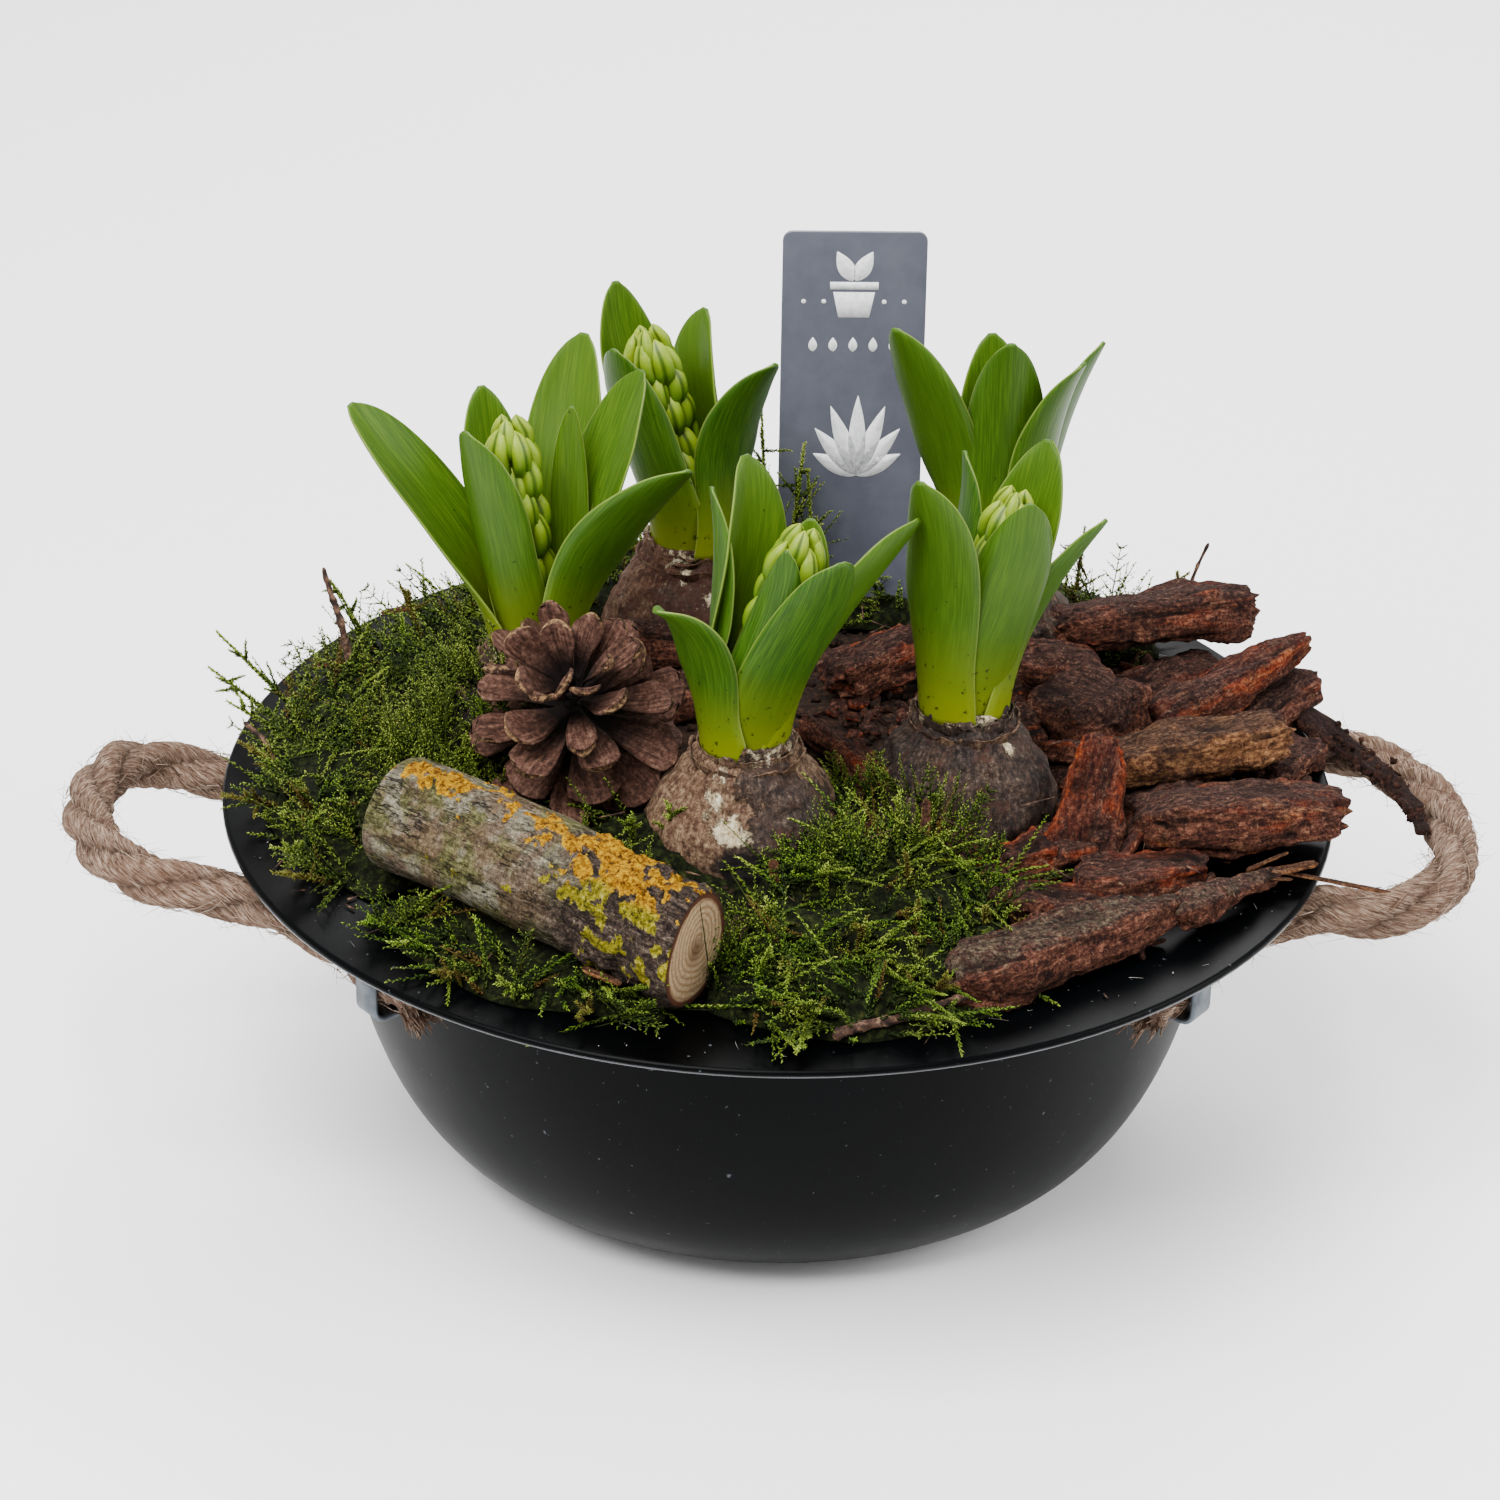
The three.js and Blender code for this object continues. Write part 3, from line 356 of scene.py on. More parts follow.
def hairs(roots, headings, lengths, bends, thick, rows=4, sides=3, **values):
    # thin curved fibres: each runs from its root along its heading and bows by its bend at the tip
    t = np.linspace(0, 1, rows)[None, :, None]
    line = bowed(roots, headings, lengths, bends, t)[0]
    along = unit(np.gradient(line, axis=1))
    first = unit(np.cross(along, up + 0.31 * direction(40)))
    second = np.cross(along, first)
    girth = np.asarray(thick, float).reshape(-1, 1, 1, 1) * (1 - 0.65 * t[..., None])
    rings = line[:, :, None] + girth * around(fullTurn(sides), first[:, :, None], second[:, :, None])
    carried = {}
    for key, value in values.items():
        value = np.asarray(value, float)
        carried[key] = value.reshape((len(value), 1, 1) + value.shape[1:]) if value.ndim else value
    return tubes(rings, ends=line[:, -1] + along[:, -1] * girth[:, -1, 0], **carried)


def makeRope(side, route, seed, material):
    # three strands round the line through the route, with loose fibres and two frayed ends
    path, length = throughPoints(route, rope["rings"])
    along = np.linspace(0, length, rope["rings"])
    tangent = unit(np.gradient(path, axis=0))
    level = unit(np.cross(tangent, up))
    lift = np.cross(level, tangent)
    angle = fullTurn(rope["sides"])
    offset = rope["radius"] - rope["strand"]
    strands = []
    for k in range(3):
        # a strand's middle runs round the rope's line; its yarns are lobes that twist the other way
        lay = 2 * np.pi * (along / rope["lay"] + k / 3)
        centre = path + offset * around(lay, level, lift)
        twist = angle[None] + 2 * np.pi * (along / rope["yarnTwist"])[:, None]
        slub = 1 + 0.07 * lump(np.stack([along, along * 0 + 9 * k, along * 0], 1), 11, seed)
        lobes = np.abs(np.sin(rope["yarns"] / 2 * twist)) ** 0.7
        size = (rope["strand"] - rope["yarnDepth"] + rope["yarnDepth"] * lobes) * slub[:, None]
        ring = around(angle, level[:, None], lift[:, None])
        points = centre[:, None] + size[..., None] * ring
        points += 0.22 * lump(points, 2.2, seed)[..., None] * ring
        # how deep a point lies in the rope and between its yarns, for the painted shade
        inward = 1 - np.linalg.norm(points - path[:, None], axis=-1) / rope["radius"]
        hollow = smooth(1.7 * inward) * 0.8 + 0.35 * (1 - lobes)
        grain = spokes(twist) * 4 + up * (along * 0.12 + 20 * k)[:, None, None]
        strands.append(tubes(points[None], grain=grain, hollow=hollow))
    name = "rope_" + side
    cord = piece(name, joined(strands), material, "jute_rope", "rope_handle_" + side)
    rng = np.random.default_rng(seed)
    # loose fibres: some lie across the strands, some stand off
    fuzz = []
    for n, stand, reach, girth in ((rope["laid"], 0.12, (5, 13), (0.1, 0.2)),
                                   (rope["fuzz"], 0.7, (3, 8), (0.07, 0.12))):
        at = rng.integers(6, rope["rings"] - 6, n)
        away = around(rng.uniform(0, 2 * np.pi, n), level[at], lift[at])
        askew = np.cross(tangent[at], away) * rng.normal(0.25, 0.5, (n, 1))
        lifted = away * stand * rng.uniform(0.2, 1.2, (n, 1))
        headings = unit(lifted + tangent[at] * rng.choice([-1, 1], (n, 1)) + askew)
        lengths = rng.uniform(*reach, n)
        bends = rng.normal(0, 0.9, (n, 3)) - away * (stand < 0.5) * (lengths**2 / 26)[:, None]
        fuzz.append(hairs(path[at] + away * 7.1, headings, lengths, bends, rng.uniform(*girth, n), rows=3,
                          grain=rng.uniform(0, 60, (n, 3)), hollow=rng.choice([0.0, 0.0, 0.5], n)))
    # each cut end flares into a brush beyond its clip
    for end, outwards in ((0, -1), (-1, 1)):
        n = rope["fray"]
        spread = np.sqrt(rng.uniform(0, 1, n))[:, None]
        away = around(rng.uniform(0, 2 * np.pi, n), level[end], lift[end])
        start = path[end] - outwards * tangent[end] * 2.5 + away * spread * 6.6
        heading = unit(outwards * tangent[end] + away * spread * rng.uniform(0.15, 0.55, (n, 1)))
        fuzz.append(hairs(start, heading, rng.uniform(3.5, 7, n), rng.normal(0, 0.7, (n, 3)),
                          rng.uniform(0.3, 0.55, n), grain=rng.uniform(0, 60, (n, 3)), hollow=0.25))
    hair = piece("rope_fuzz_" + side, joined(fuzz), material, "jute_rope")
    print("rope", side, "length in mm", round(length))


jute = juteMaterial()
for ropeSeed, (ropeSide, ropeRoute) in enumerate(ropeRoutes.items()):
    makeRope(ropeSide, ropeRoute, 11 + ropeSeed, jute)

# ---- bowl: spun sheet steel with a flat rim and a rolled edge

bowl = {"height": 110, "base": 56, "mouth": 129, "lip": 131, "rim": 160, "wall": 1.6, "bead": 1.3,
        "swell": 0.58, "segments": 132, "line": 0.42}


def wallRadius(height):
    # the wall's radius at a height: a rounded bottom that turns into an almost upright wall
    rise = np.sin(np.arccos(1 - np.clip(height, 0, bowl["height"]) / bowl["height"]))
    return bowl["base"] + (bowl["mouth"] - bowl["base"]) * rise ** bowl["swell"]


def lathe(profile, segments):
    # rings of (radius, height) points round the Z axis
    return profile[:, 0][:, None, None] * spokes(fullTurn(segments)) + profile[:, 1][:, None, None] * up


def powderCoat():
    # baked powder coat: satin black, faint orange peel, a few specks of dust
    material, node = begun("blackPowderCoat", Specular_IOR_Level=0.04)
    place = node("place")
    cloud = node("noise", place, 18, 4)
    tint = node("ramp", cloud, stops=((0.3, "#010101"), (0.7, "#020304")))
    dust = node("range", node("noise", place, 520, 2), 0.72, 0.78, 0, 0.35)
    return finished(material, node("mix", dust, tint, "#6f747c"), node("noise", place, 900, 2), 0.05, 0.35,
                    node("range", cloud, 0.3, 0.7, 0.3, 0.42))


def torus(section, count):
    # a closed section of (radius, height) points carried once round the Z axis
    n = len(section)
    points = lathe(section, count).transpose(1, 0, 2).reshape(-1, 3)
    i, j = np.arange(count)[:, None], np.arange(n)[None]
    k, m = (i + 1) % count, (j + 1) % n
    quads = np.stack([i * n + j, k * n + j, k * n + m, i * n + m], -1).reshape(-1, 4)
    return {"points": points, "quads": quads, "fans": np.zeros((0, 3), int), "values": {}}


def makeBowl(b):
    # one profile turned round Z: foot, wall, underside of the rim, rolled edge, lip and inner wall
    heights = b["height"] * (1 - np.cos(np.linspace(0.06, np.pi / 2 - 0.16, 30)))
    outer = np.stack([wallRadius(heights), heights], 1)
    foot = np.array([(0.01, 0), (b["base"] - 1.5, 0), (b["base"], 0.1), (b["base"] + 1.5, 0.7)])
    outer = outer[outer[:, 0] > foot[-1, 0] + 1]
    skin, top = b["wall"], b["height"]
    fillet = np.radians(np.linspace(0, 90, 7))
    under = np.stack([b["mouth"] + 3 * (1 - np.cos(fillet)), top - skin - 3 * (1 - np.sin(fillet))], 1)
    roll = np.radians(np.linspace(-120, 90, 12))
    edge = np.stack([b["rim"] - b["bead"] + b["bead"] * np.cos(roll), top - b["bead"]
                     + b["bead"] * np.sin(roll)], 1)
    bend = np.radians(np.linspace(90, 180, 7))
    lip = np.stack([b["lip"] + 0.9 + 3 * np.cos(bend) * 0.9, top - 3 + 3 * np.sin(bend)], 1)
    inner = np.stack([wallRadius(heights[::-1]) - skin, heights[::-1]], 1)
    inner = inner[(inner[:, 1] < top - 4) & (inner[:, 1] > 2.5)]
    profile = np.concatenate([foot, outer, under, [(b["rim"] - 3.4, top - skin)], edge, lip, inner,
                              [(b["base"] - 2, skin), (0.01, skin)]])
    made = piece("bowl_shell", tubes(lathe(profile, b["segments"])[None]), powderCoat(), "black_steel", "bowl")
    made.data.set_sharp_from_angle(angle=math.radians(40))
    # a thin dark grey, glossy band along the outside of the rolled edge; its grey, paler than the black coat, is a
    # painted highlight
    band = b["line"] * spokes(fullTurn(8))[:, :2] + np.array([b["rim"] - 0.35, top - 1.75])
    highlightBand = plainMaterial("edgeHighlightCoat", (60, 4), ((0.35, "#08090b"), (0.65, "#2c2f34")), Roughness=0.18,
                           Specular_IOR_Level=0.6)
    piece("bowl_edge_line", torus(band, b["segments"]), highlightBand, "black_steel")


makeBowl(bowl)
print("bowl made")

# ---- clips: zinc-plated straps bent over the ropes

clip = {"turns": {"right_front": -35.5, "right_back": 39.5, "left_back": 144.5, "left_front": 219.5},
        "height": 92, "width": 9, "gauge": 1.6, "foot": 6.5, "gap": 0.3, "round": 0.45}


def makeClip(name, turn, material):
    # a strap from the wall over the rope and back to the wall, bent round the rope with soft corners
    c = clip
    reach = wallRadius(c["height"]) + 3 * c["gap"] + 2 * rope["radius"] + c["gauge"] / 2
    half = rope["radius"] + c["gap"] + c["gauge"] / 2
    low, high = c["height"] - half, c["height"] + half
    wall = wallRadius(np.array([low - c["foot"], low, high, high + c["foot"]])) + c["gap"] + c["gauge"] / 2
    bend = np.radians(np.linspace(0, 90, 6))[1:-1]
    corner = np.stack([3.4 * (np.sin(bend) - 1), 3.4 * (1 - np.cos(bend))], 1)
    line = [(wall[3], high + c["foot"]), (wall[2], high + 1), (wall[2] + 1, high), (reach - 3.4, high)]
    line += [(reach + x, high - y) for x, y in corner] + [(reach, high - 3.4), (reach, low + 3.4)]
    line += [(reach + x, low + y) for x, y in corner[::-1]]
    line += [(reach - 3.4, low), (wall[1] + 1, low), (wall[1], low - 1), (wall[0], low - c["foot"])]
    line = np.array(line)
    along = unit(np.gradient(line, axis=0))
    out, side = direction(turn), direction(turn + 90)
    w, g, r = c["width"] / 2, c["gauge"] / 2, c["round"]
    section = [(-w, -g + r), (-w + r, -g), (w - r, -g), (w, -g + r),
               (w, g - r), (w - r, g), (-w + r, g), (-w, g - r)]
    normal = np.stack([-along[:, 1], along[:, 0]], 1)
    flat = lambda rz: rz[..., :1] * out + rz[..., 1:] * up
    rings = flat(line)[:, None] + np.array([[[x] for x, _ in section]]) * side \
        + flat(normal)[:, None] * np.array([[[y] for _, y in section]])
    made = piece("strap_" + name, tubes(rings[None]), material, "clip_steel", "rope_clip_" + name)
    made.data.set_sharp_from_angle(angle=math.radians(50))


# zinc-plated sheet: dull grey with darker smudges
zinc = plainMaterial("zincPlatedStrap", (160, 5), ((0.3, "#2f353b"), (0.7, "#5a6169")), 0.05, 0.5, Metallic=0.6,
                     Roughness=0.45)
for clipName, clipTurn in clip["turns"].items():
    makeClip(clipName, clipTurn, zinc)

# ---- fill: potting soil with crumbs and fibres

fill = {"top": 124, "fall": 14, "radius": 105, "mound": 4, "crumbs": 1500, "segments": 160}


def fillHeight(x, y):
    # low crown that dips to the rim, higher where the bark is heaped
    radius = np.hypot(x, y)
    side = smooth((x - 50) / 40) * smooth((126 - radius) / 26)
    return fill["top"] - fill["fall"] * (radius / fill["radius"]) ** 2 + fill["mound"] * side


def makeSoil(material):
    # one closed body that follows the bowl's inside and swells into a lumpy crown
    rng = np.random.default_rng(5)
    down = np.array([(0.01, 2.2), (54, 2.2)] + [(float(wallRadius(z)) - 3.2, z) for z in (12, 40, 80, 104)])
    radii = np.concatenate([[124.5], np.linspace(121, 2, 50)])
    top = radii[:, None, None] * spokes(fullTurn(fill["segments"]))
    top[..., 2] = fillHeight(top[..., 0], top[..., 1])
    top[0, :, 2] = 107
    top[1:, :, 2] += 1.6 * fractal(top[1:], 9, 4, 3)
    rings = np.concatenate([lathe(down, fill["segments"]), top])
    piece("soil_fill", tubes(rings[None]), material, "potting_soil", "soil")
    n = fill["crumbs"]
    spot = direction(rng.uniform(0, 360, n)) * (120 * np.sqrt(rng.uniform(0, 1, n)))[:, None]
    spot[:, 2] = fillHeight(spot[:, 0], spot[:, 1]) + rng.uniform(-0.5, 1.5, n)
    piece("soil_crumbs", crumbs(spot, rng.uniform(0.7, 2.4, n), rng), material, "potting_soil")


def crumbs(spots, sizes, rng, stretch=1.7, **values):
    # small broken grains: squashed, skewed octahedra turned at random
    n = len(spots)
    ring = spokes(fullTurn(4)) * rng.uniform(0.6, 1.2, (n, 4, 1))
    poles = np.array([[0, 0, -1.0], [0, 0, 1.0]])[None] * rng.uniform(0.4, 1.0, (n, 2, 1))
    body = np.concatenate([ring, poles], 1) * sizes[:, None, None]
    body[..., 0] *= rng.uniform(1, stretch, (n, 1))
    frames = turns(rng.normal(size=(n, 4)))
    body = np.einsum("nij,nkj->nki", frames, body) + spots[:, None]
    return tubes(body[:, None, :4], body[:, 4], body[:, 5], **values)


def turns(quaternions):
    # rotation matrices of quaternions that needn't be of unit length
    w, x, y, z = unit(quaternions).T
    rows = [[1 - 2 * (y * y + z * z), 2 * (x * y - z * w), 2 * (x * z + y * w)],
            [2 * (x * y + z * w), 1 - 2 * (x * x + z * z), 2 * (y * z - x * w)],
            [2 * (x * z - y * w), 2 * (y * z + x * w), 1 - 2 * (x * x + y * y)]]
    return np.moveaxis(np.array(rows), -1, 0)


# damp potting soil: near black, with brown fibres and paler grit
makeSoil(plainMaterial("pottingSoil", (420, 5, 0.7), (
    (0.35, "#0e0a08"), (0.52, "#241812"), (0.64, "#3b281c"), (0.76, "#5f4632")), 1.0, 0.9, Roughness=1.0,
    Specular_IOR_Level=0.15))
print("clips and fill made")

# ---- plants: bulb, shoot of strap leaves, spike of closed buds

# leaves by turn, reach, rise, width and lean, and the turn of the back where it is twisted
plants = [
    {"name": "a", "neck": (-9, -47, 150), "drift": 14, "whorls": 4, "spike": 58, "tone": 0.5, "paler": 0.12,
     "leaves": [
        (205, 40, 46, 22, 62, 230), (150, 31, 68, 21, 12, 190), (135, 28, 76, 26, 14), (250, 14, 63, 14, 4),
        (80, 14, 60, 19, 10), (300, 21, 62, 26, 20), (8, 31, 65, 24, 34, 325)]},
    {"name": "b", "neck": (52, -24, 150), "drift": 11, "whorls": 4, "spike": 60, "tone": 0.15, "leaves": [
        (215, 36, 77, 25, 22, 235), (140, 20, 71, 23, 8, 190), (280, 14, 68, 24, 4), (62, 15, 75, 24, 16),
        (5, 27, 56, 22, 38, 330)]},
    {"name": "c", "neck": (-71, 8, 150), "drift": -6, "whorls": 6, "spike": 64, "tone": 0.5, "leaves": [
        (170, 46, 69, 25, 34, 152), (226, 16, 70, 27, 12), (115, 20, 71, 21, 8), (342, 53, 62, 28, 44, 305),
        (30, 20, 69, 11, 4, 80), (22, 41, 78, 25, 18, 40), (60, 42, 80, 27, 16)]},
    {"name": "d", "neck": (-28, 78, 150), "drift": -12, "whorls": 6, "spike": 62, "tone": 0.85, "rust": 1.0,
     "leaves": [
        (120, 16, 76, 22, 4), (235, 16, 66, 23, 10), (40, 22, 68, 23, 14), (345, 38, 61, 26, 36, 315)]},
    {"name": "e", "neck": (64, 66, 148), "drift": -1, "whorls": 4, "spike": 60, "tone": 0.3, "leaves": [
        (200, 34, 81, 25, 22, 235), (100, 17, 68, 23, 8), (275, 16, 79, 25, 8), (330, 26, 72, 27, 28),
        (18, 31, 69, 25, 30, 340)]},
]

leafBlade = {"thick": 2.0, "rows": 40, "across": 11, "wrap": 12.2, "layer": 0.75, "channel": 19}


def leafMaterial():
    # waxy monocot leaf: parallel veins, a pale thin line along the margins as painted highlight, yellow foot, a
    # dusting of soil near the neck
    material, node = begun("hyacinthLeaf", Roughness=0.45, Specular_IOR_Level=0.16)
    vein = node("noise", node("grain"), 2.3, 3, 0.6)
    inner = node("ramp", vein, stops=((0.36, "#2c4805"), (0.5, "#355206"), (0.64, "#435e0a")))
    outer = node("ramp", vein, stops=((0.36, "#1f3d06"), (0.5, "#294808"), (0.64, "#38560d")))
    speck = node("noise", node("place"), 480, 3, 0.6)
    dirt = node("less", speck, node("range", node("rise"), 0.0, 0.75, 0.61, 0.73))
    tint = coated(node, node("mix", node("inner"), outer, inner),
                  (node("tone"), 0, 1, 0, 0.35, "#45600d"),
                  (node("range", node("rise"), 0.05, 0.43, 1, 0, interpolation_type="SMOOTHSTEP"), "#586804"),
                  (node("rise"), 0.0, 0.16, 0.85, 0, "#6d7500"),
                  # painted highlight: a pale line along the margins
                  (node("edge"), 0.965, 1.0, 0, 0.5, "#7c8c40"),
                  (dirt, 0, 0.03, 0, 0.85, "#17170a"))
    return finished(material, tint, vein, 0.16, 0.6)


def leafShape(plant, leaf, layer, index):
    # A blade carried up a cubic Bezier midrib. Its section is an arc: tight round the shoot at the
    # foot, a shallow channel above, tight again in the boat-shaped tip.
    b = leafBlade
    turn, reach, high, width, lean, *back = leaf
    neck, out, lean = np.array(plant["neck"], float), direction(turn), math.radians(lean)
    root = neck + out * (b["wrap"] - b["layer"] * layer) - up * 3
    # the whole shoot drifts sideways, by its drift at 60 mm above the neck
    tip = neck + out * reach + up * high + np.array([plant["drift"] * high / 60, 0, 0])
    knee = neck + out * 14 + up * (2 + 0.36 * high)
    elbow = tip - 0.38 * high * (up * math.cos(lean) + out * math.sin(lean))
    t = 1 - (1 - np.linspace(0, 1, b["rows"])) ** 1.25
    c = t[:, None]
    midrib = root * (1 - c)**3 + 3 * knee * c * (1 - c)**2 + 3 * elbow * c**2 * (1 - c) + tip * c**3
    along = unit(np.gradient(midrib, t, axis=0))
    swing = (sum(back or [turn]) - turn + 180) % 360 - 180
    side = direction(turn + 90 + smooth(t / 0.5) * swing)
    side = unit(side - (side * along).sum(1, keepdims=True) * along)
    inward = np.cross(along, side)
    taper = np.maximum(0.1, (1 - np.maximum(0, (t - 0.45) / 0.55) ** 2.6) ** 0.6)
    # half the width along the arc: wide enough at the foot to wrap the shoot, then the blade's own
    wrapped = 14.5
    half = (wrapped + (width / 2 * 1.06 - wrapped) * smooth(t / 0.26)) * taper
    bend = b["wrap"] - b["layer"] * layer + (b["channel"] - b["wrap"]) * smooth(t / 0.4)
    bend = bend * (1 - 0.42 * smooth((t - 0.72) / 0.28))
    s = np.linspace(-1, 1, b["across"])
    angle = s[None] * np.minimum(half / bend, 1.35)[:, None]
    # a slight wave of the margins, and a groove along the midrib on the inner side
    wave = 0.35 * np.sin(9 * t + index)[:, None] * s[None] ** 2
    middle = midrib[:, None] + side[:, None] * (bend[:, None] * np.sin(angle))[..., None]
    middle = middle + inward[:, None] * (bend[:, None] * (1 - np.cos(angle)) + wave)[..., None]
    normal = inward[:, None] * np.cos(angle)[..., None] - side[:, None] * np.sin(angle)[..., None]
    gauge = b["thick"] / 2 * (1 - 0.5 * np.abs(s) ** 3 - 0.25 * s**8)[None] * (0.6 + 0.4 * taper)[:, None]
    groove = 0.45 * np.exp(-(s / 0.14) ** 2)[None] * (1 - t)[:, None] ** 0.5
    front = middle + normal * (gauge - groove)[..., None]
    back = middle - normal * (gauge + 0.35 * groove)[..., None]
    rings = np.concatenate([front, back[:, ::-1]], 1)
    wide, rise = np.concatenate([s, s[::-1]]), t[:, None]
    grain = np.stack(np.broadcast_arrays(wide * half[:, None], rise * high * 0.035, 7.3 * index + neck[0]), -1)
    tone = (math.sin(index * 2.7 + neck[0]) + 1) / 2
    face = np.repeat([1.0, 0.0], b["across"])
    return tubes(rings[None], grain=grain, rise=rise, edge=np.abs(wide), inner=face, tone=tone)


def budMaterial():
    # closed hyacinth buds: pale yellow-green, greener at the foot, dark green in the seams between the petals as
    # painted shade
    material, node = begun("closedBuds", Roughness=0.45, Specular_IOR_Level=0.25)
    cloud = node("noise", node("place"), 420, 4, 0.65)
    tint = node("ramp", node("rise"), stops=((0.0, "#142600"), (0.4, "#3c5a02"), (0.7, "#6c810b"), (1.0, "#8a9a26")))
    tint = coated(node, tint, (cloud, 0.42, 0.62, 0, 0.45, "#557a08"),
                  # painted shade: dark green in the seams between the petals
                  (node("edge"), 0.3, 0.9, 0.0, 0.85, "#243f02"))
    return finished(material, tint, cloud, 0.3, 0.5)


bud = {"length": 19, "radius": 3.2, "pitch": 8.4, "rows": 13, "sides": 18}


def spikeShape(plant):
    # Buds in whorls of six, each whorl half a step round from the last. A bud is a blunt spindle with
    # three deep seams and a ridge on each petal; it lies along the stalk and its tip bends in.
    b = bud
    neck = np.array(plant["neck"], float)
    # the stalk runs from 8 mm above the neck to the spike's height; buds are placed down from its crown
    foot = neck + up * 8
    crown = neck + up * plant["spike"] + np.array([plant["drift"] * plant["spike"] / 60, 0, 0])
    axis = unit(crown - foot)
    first = unit(np.cross([0.0, 1, 0], axis))
    second = np.cross(axis, first)
    rng = np.random.default_rng(int(100 + plant["neck"][1]))
    spec = []
    for whorl in range(plant["whorls"]):
        for k in range(6):
            low = 9.5 + b["pitch"] * whorl + rng.uniform(-2, 2)
            spec.append((low, 60 * k + 30 * (whorl % 2) + rng.uniform(-7, 7), rng.uniform(0.9, 1.04), 0.0))
    spec += [(3.5, 120 * k + 20, 0.85, -0.1) for k in range(3)]
    low, turn, size, tuck = np.array(spec).T
    away = around(np.radians(turn), first, second)
    across = np.cross(axis, away)
    u = np.linspace(0.03, 0.99, b["rows"])
    lift = (b["length"] * size)[:, None] * u
    bow = 3.4 * smooth(u / 0.5) ** 0.8 - 1.9 * smooth((u - 0.6) / 0.4)
    out = (2.3 + tuck * 12)[:, None] + size[:, None] * bow
    base = crown[None] - axis * (low + 6.5)[:, None]
    centre = base[:, None] + axis * lift[..., None] + away[:, None] * out[..., None]
    angle = fullTurn(b["sides"])
    girth = b["radius"] * (0.4 + 0.6 * smooth(u / 0.4)) * (1 - np.maximum(0, (u - 0.48) / 0.514) ** 3.6) ** 0.6
    spin = rng.uniform(0, 2 * np.pi, len(size))[:, None, None]
    seams = np.abs(np.cos(1.5 * angle)) ** 0.5
    ridge = 0.09 * np.abs(np.cos(3 * angle))
    section = size[:, None, None] * girth[None, :, None] * (0.62 + 0.36 * seams + ridge)[None, None]
    spoke = around(angle + spin, away[:, None, None], across[:, None, None])
    rings = centre[:, :, None] + section[..., None] * spoke
    stalk = hairs(foot[None], axis[None], np.array([np.linalg.norm(crown - foot) - 4]), np.zeros((1, 3)),
                  np.array([4.2]), rows=6, sides=10, rise=np.array([0.05]), edge=np.array([0.2]))
    buds = tubes(rings, ends=centre[:, -1] + axis * 0.25, rise=u[:, None], edge=(1 - seams) * 1.1)
    return joined([buds, stalk])


skin = {"rows": 62, "sides": 116, "ribs": 0.16, "lumps": 1.1, "cracks": 0.7, "ply": 0.5, "neck": 26}
# radius and height above the middle, from the root plate to the neck and in
bulbOutline = [(0.4, -24), (7, -23.4), (13, -22), (20, -17), (25.2, -11), (27.4, -5), (27, 1), (25, 7.5),
               (21.8, 13), (18.2, 18), (15.6, 22.5), (14.3, 26), (13.4, 27), (12.4, 25), (11, 21)]
# cream flakes, black rot and lighter or darker skin: kind, strength, turn, height, width in degrees, tallness
bulbMarks = {
    "a": [("peel", 0.26, 243, 15, 13, 8), ("peel", 0.47, 263, 7, 15, 4.2), ("soot", 0.9, 272, -2.5, 21, 6),
          ("tone", 0.35, 225, 4, 36, 25), ("tone", -0.5, 305, 0, 46, 30)],
    "b": [("peel", 0.3, 318, 19, 9, 7)],
    "c": [("soot", 0.55, 215, 0, 50, 26)],
    "d": [("peel", 0.22, 268, 19, 16, 6), ("peel", 0.27, 294, 13, 17, 4), ("tone", -0.9, 280, 0, 80, 40)],
    "e": [],
}


def bulbMaterial():
    # dry papery tunic: purple-brown with fine veins from base to neck, dusty, peeled to cream in places
    material, node = begun("bulbTunic", Roughness=0.75, Specular_IOR_Level=0.2)
    place = node("place")
    speckle, patch = node("noise", place, 620, 5, 0.8), node("noise", place, 190, 8, 0.75)
    vein = node("share", 0.68, node("noise", node("grain"), 1.3, 6, 0.7), speckle)
    dark = node("ramp", vein, stops=((0.37, "#070404"), (0.46, "#191210"), (0.54, "#2c221e"), (0.66, "#5b4e46")))
    pale = node("ramp", vein, stops=((0.37, "#22140d"), (0.46, "#523928"), (0.54, "#775d47"), (0.66, "#a9926f")))
    bared = node("ramp", vein, stops=((0.38, "#6f563e"), (0.48, "#a69677"), (0.6, "#cfc6ab")))
    tone = node("timesPlus", node("noise", place, 70, 9, 0.72), 2.4, node("tone"))
    torn = node("range", tone, 1.55, 1.68, 0, 0.5)
    peeled = node("range", node("sum", patch, node("peel")), 0.72, 0.78, 0, 0.92)
    tint = coated(node, dark, (tone, 1.2, 2.3, 0, 0.5, pale), (torn, pale),
                  # painted shadow: a thin dark line along the torn edges of the skins
                  (node("times", node("near", torn, 0.25, 0.2), 0.7), "#150c08"),
                  (node("timesPlus", node("rust"), 0.16, patch), 0.52, 0.64, 0, 0.6, "#3e2015"),
                  (peeled, bared),
                  (node("sum", patch, node("soot")), 0.8, 0.95, 0, 0.95, "#0a0807"))
    return finished(material, tint, node("timesPlus", peeled, 0.5, node("timesPlus", torn, -0.5, vein)), 0.9, 0.9)


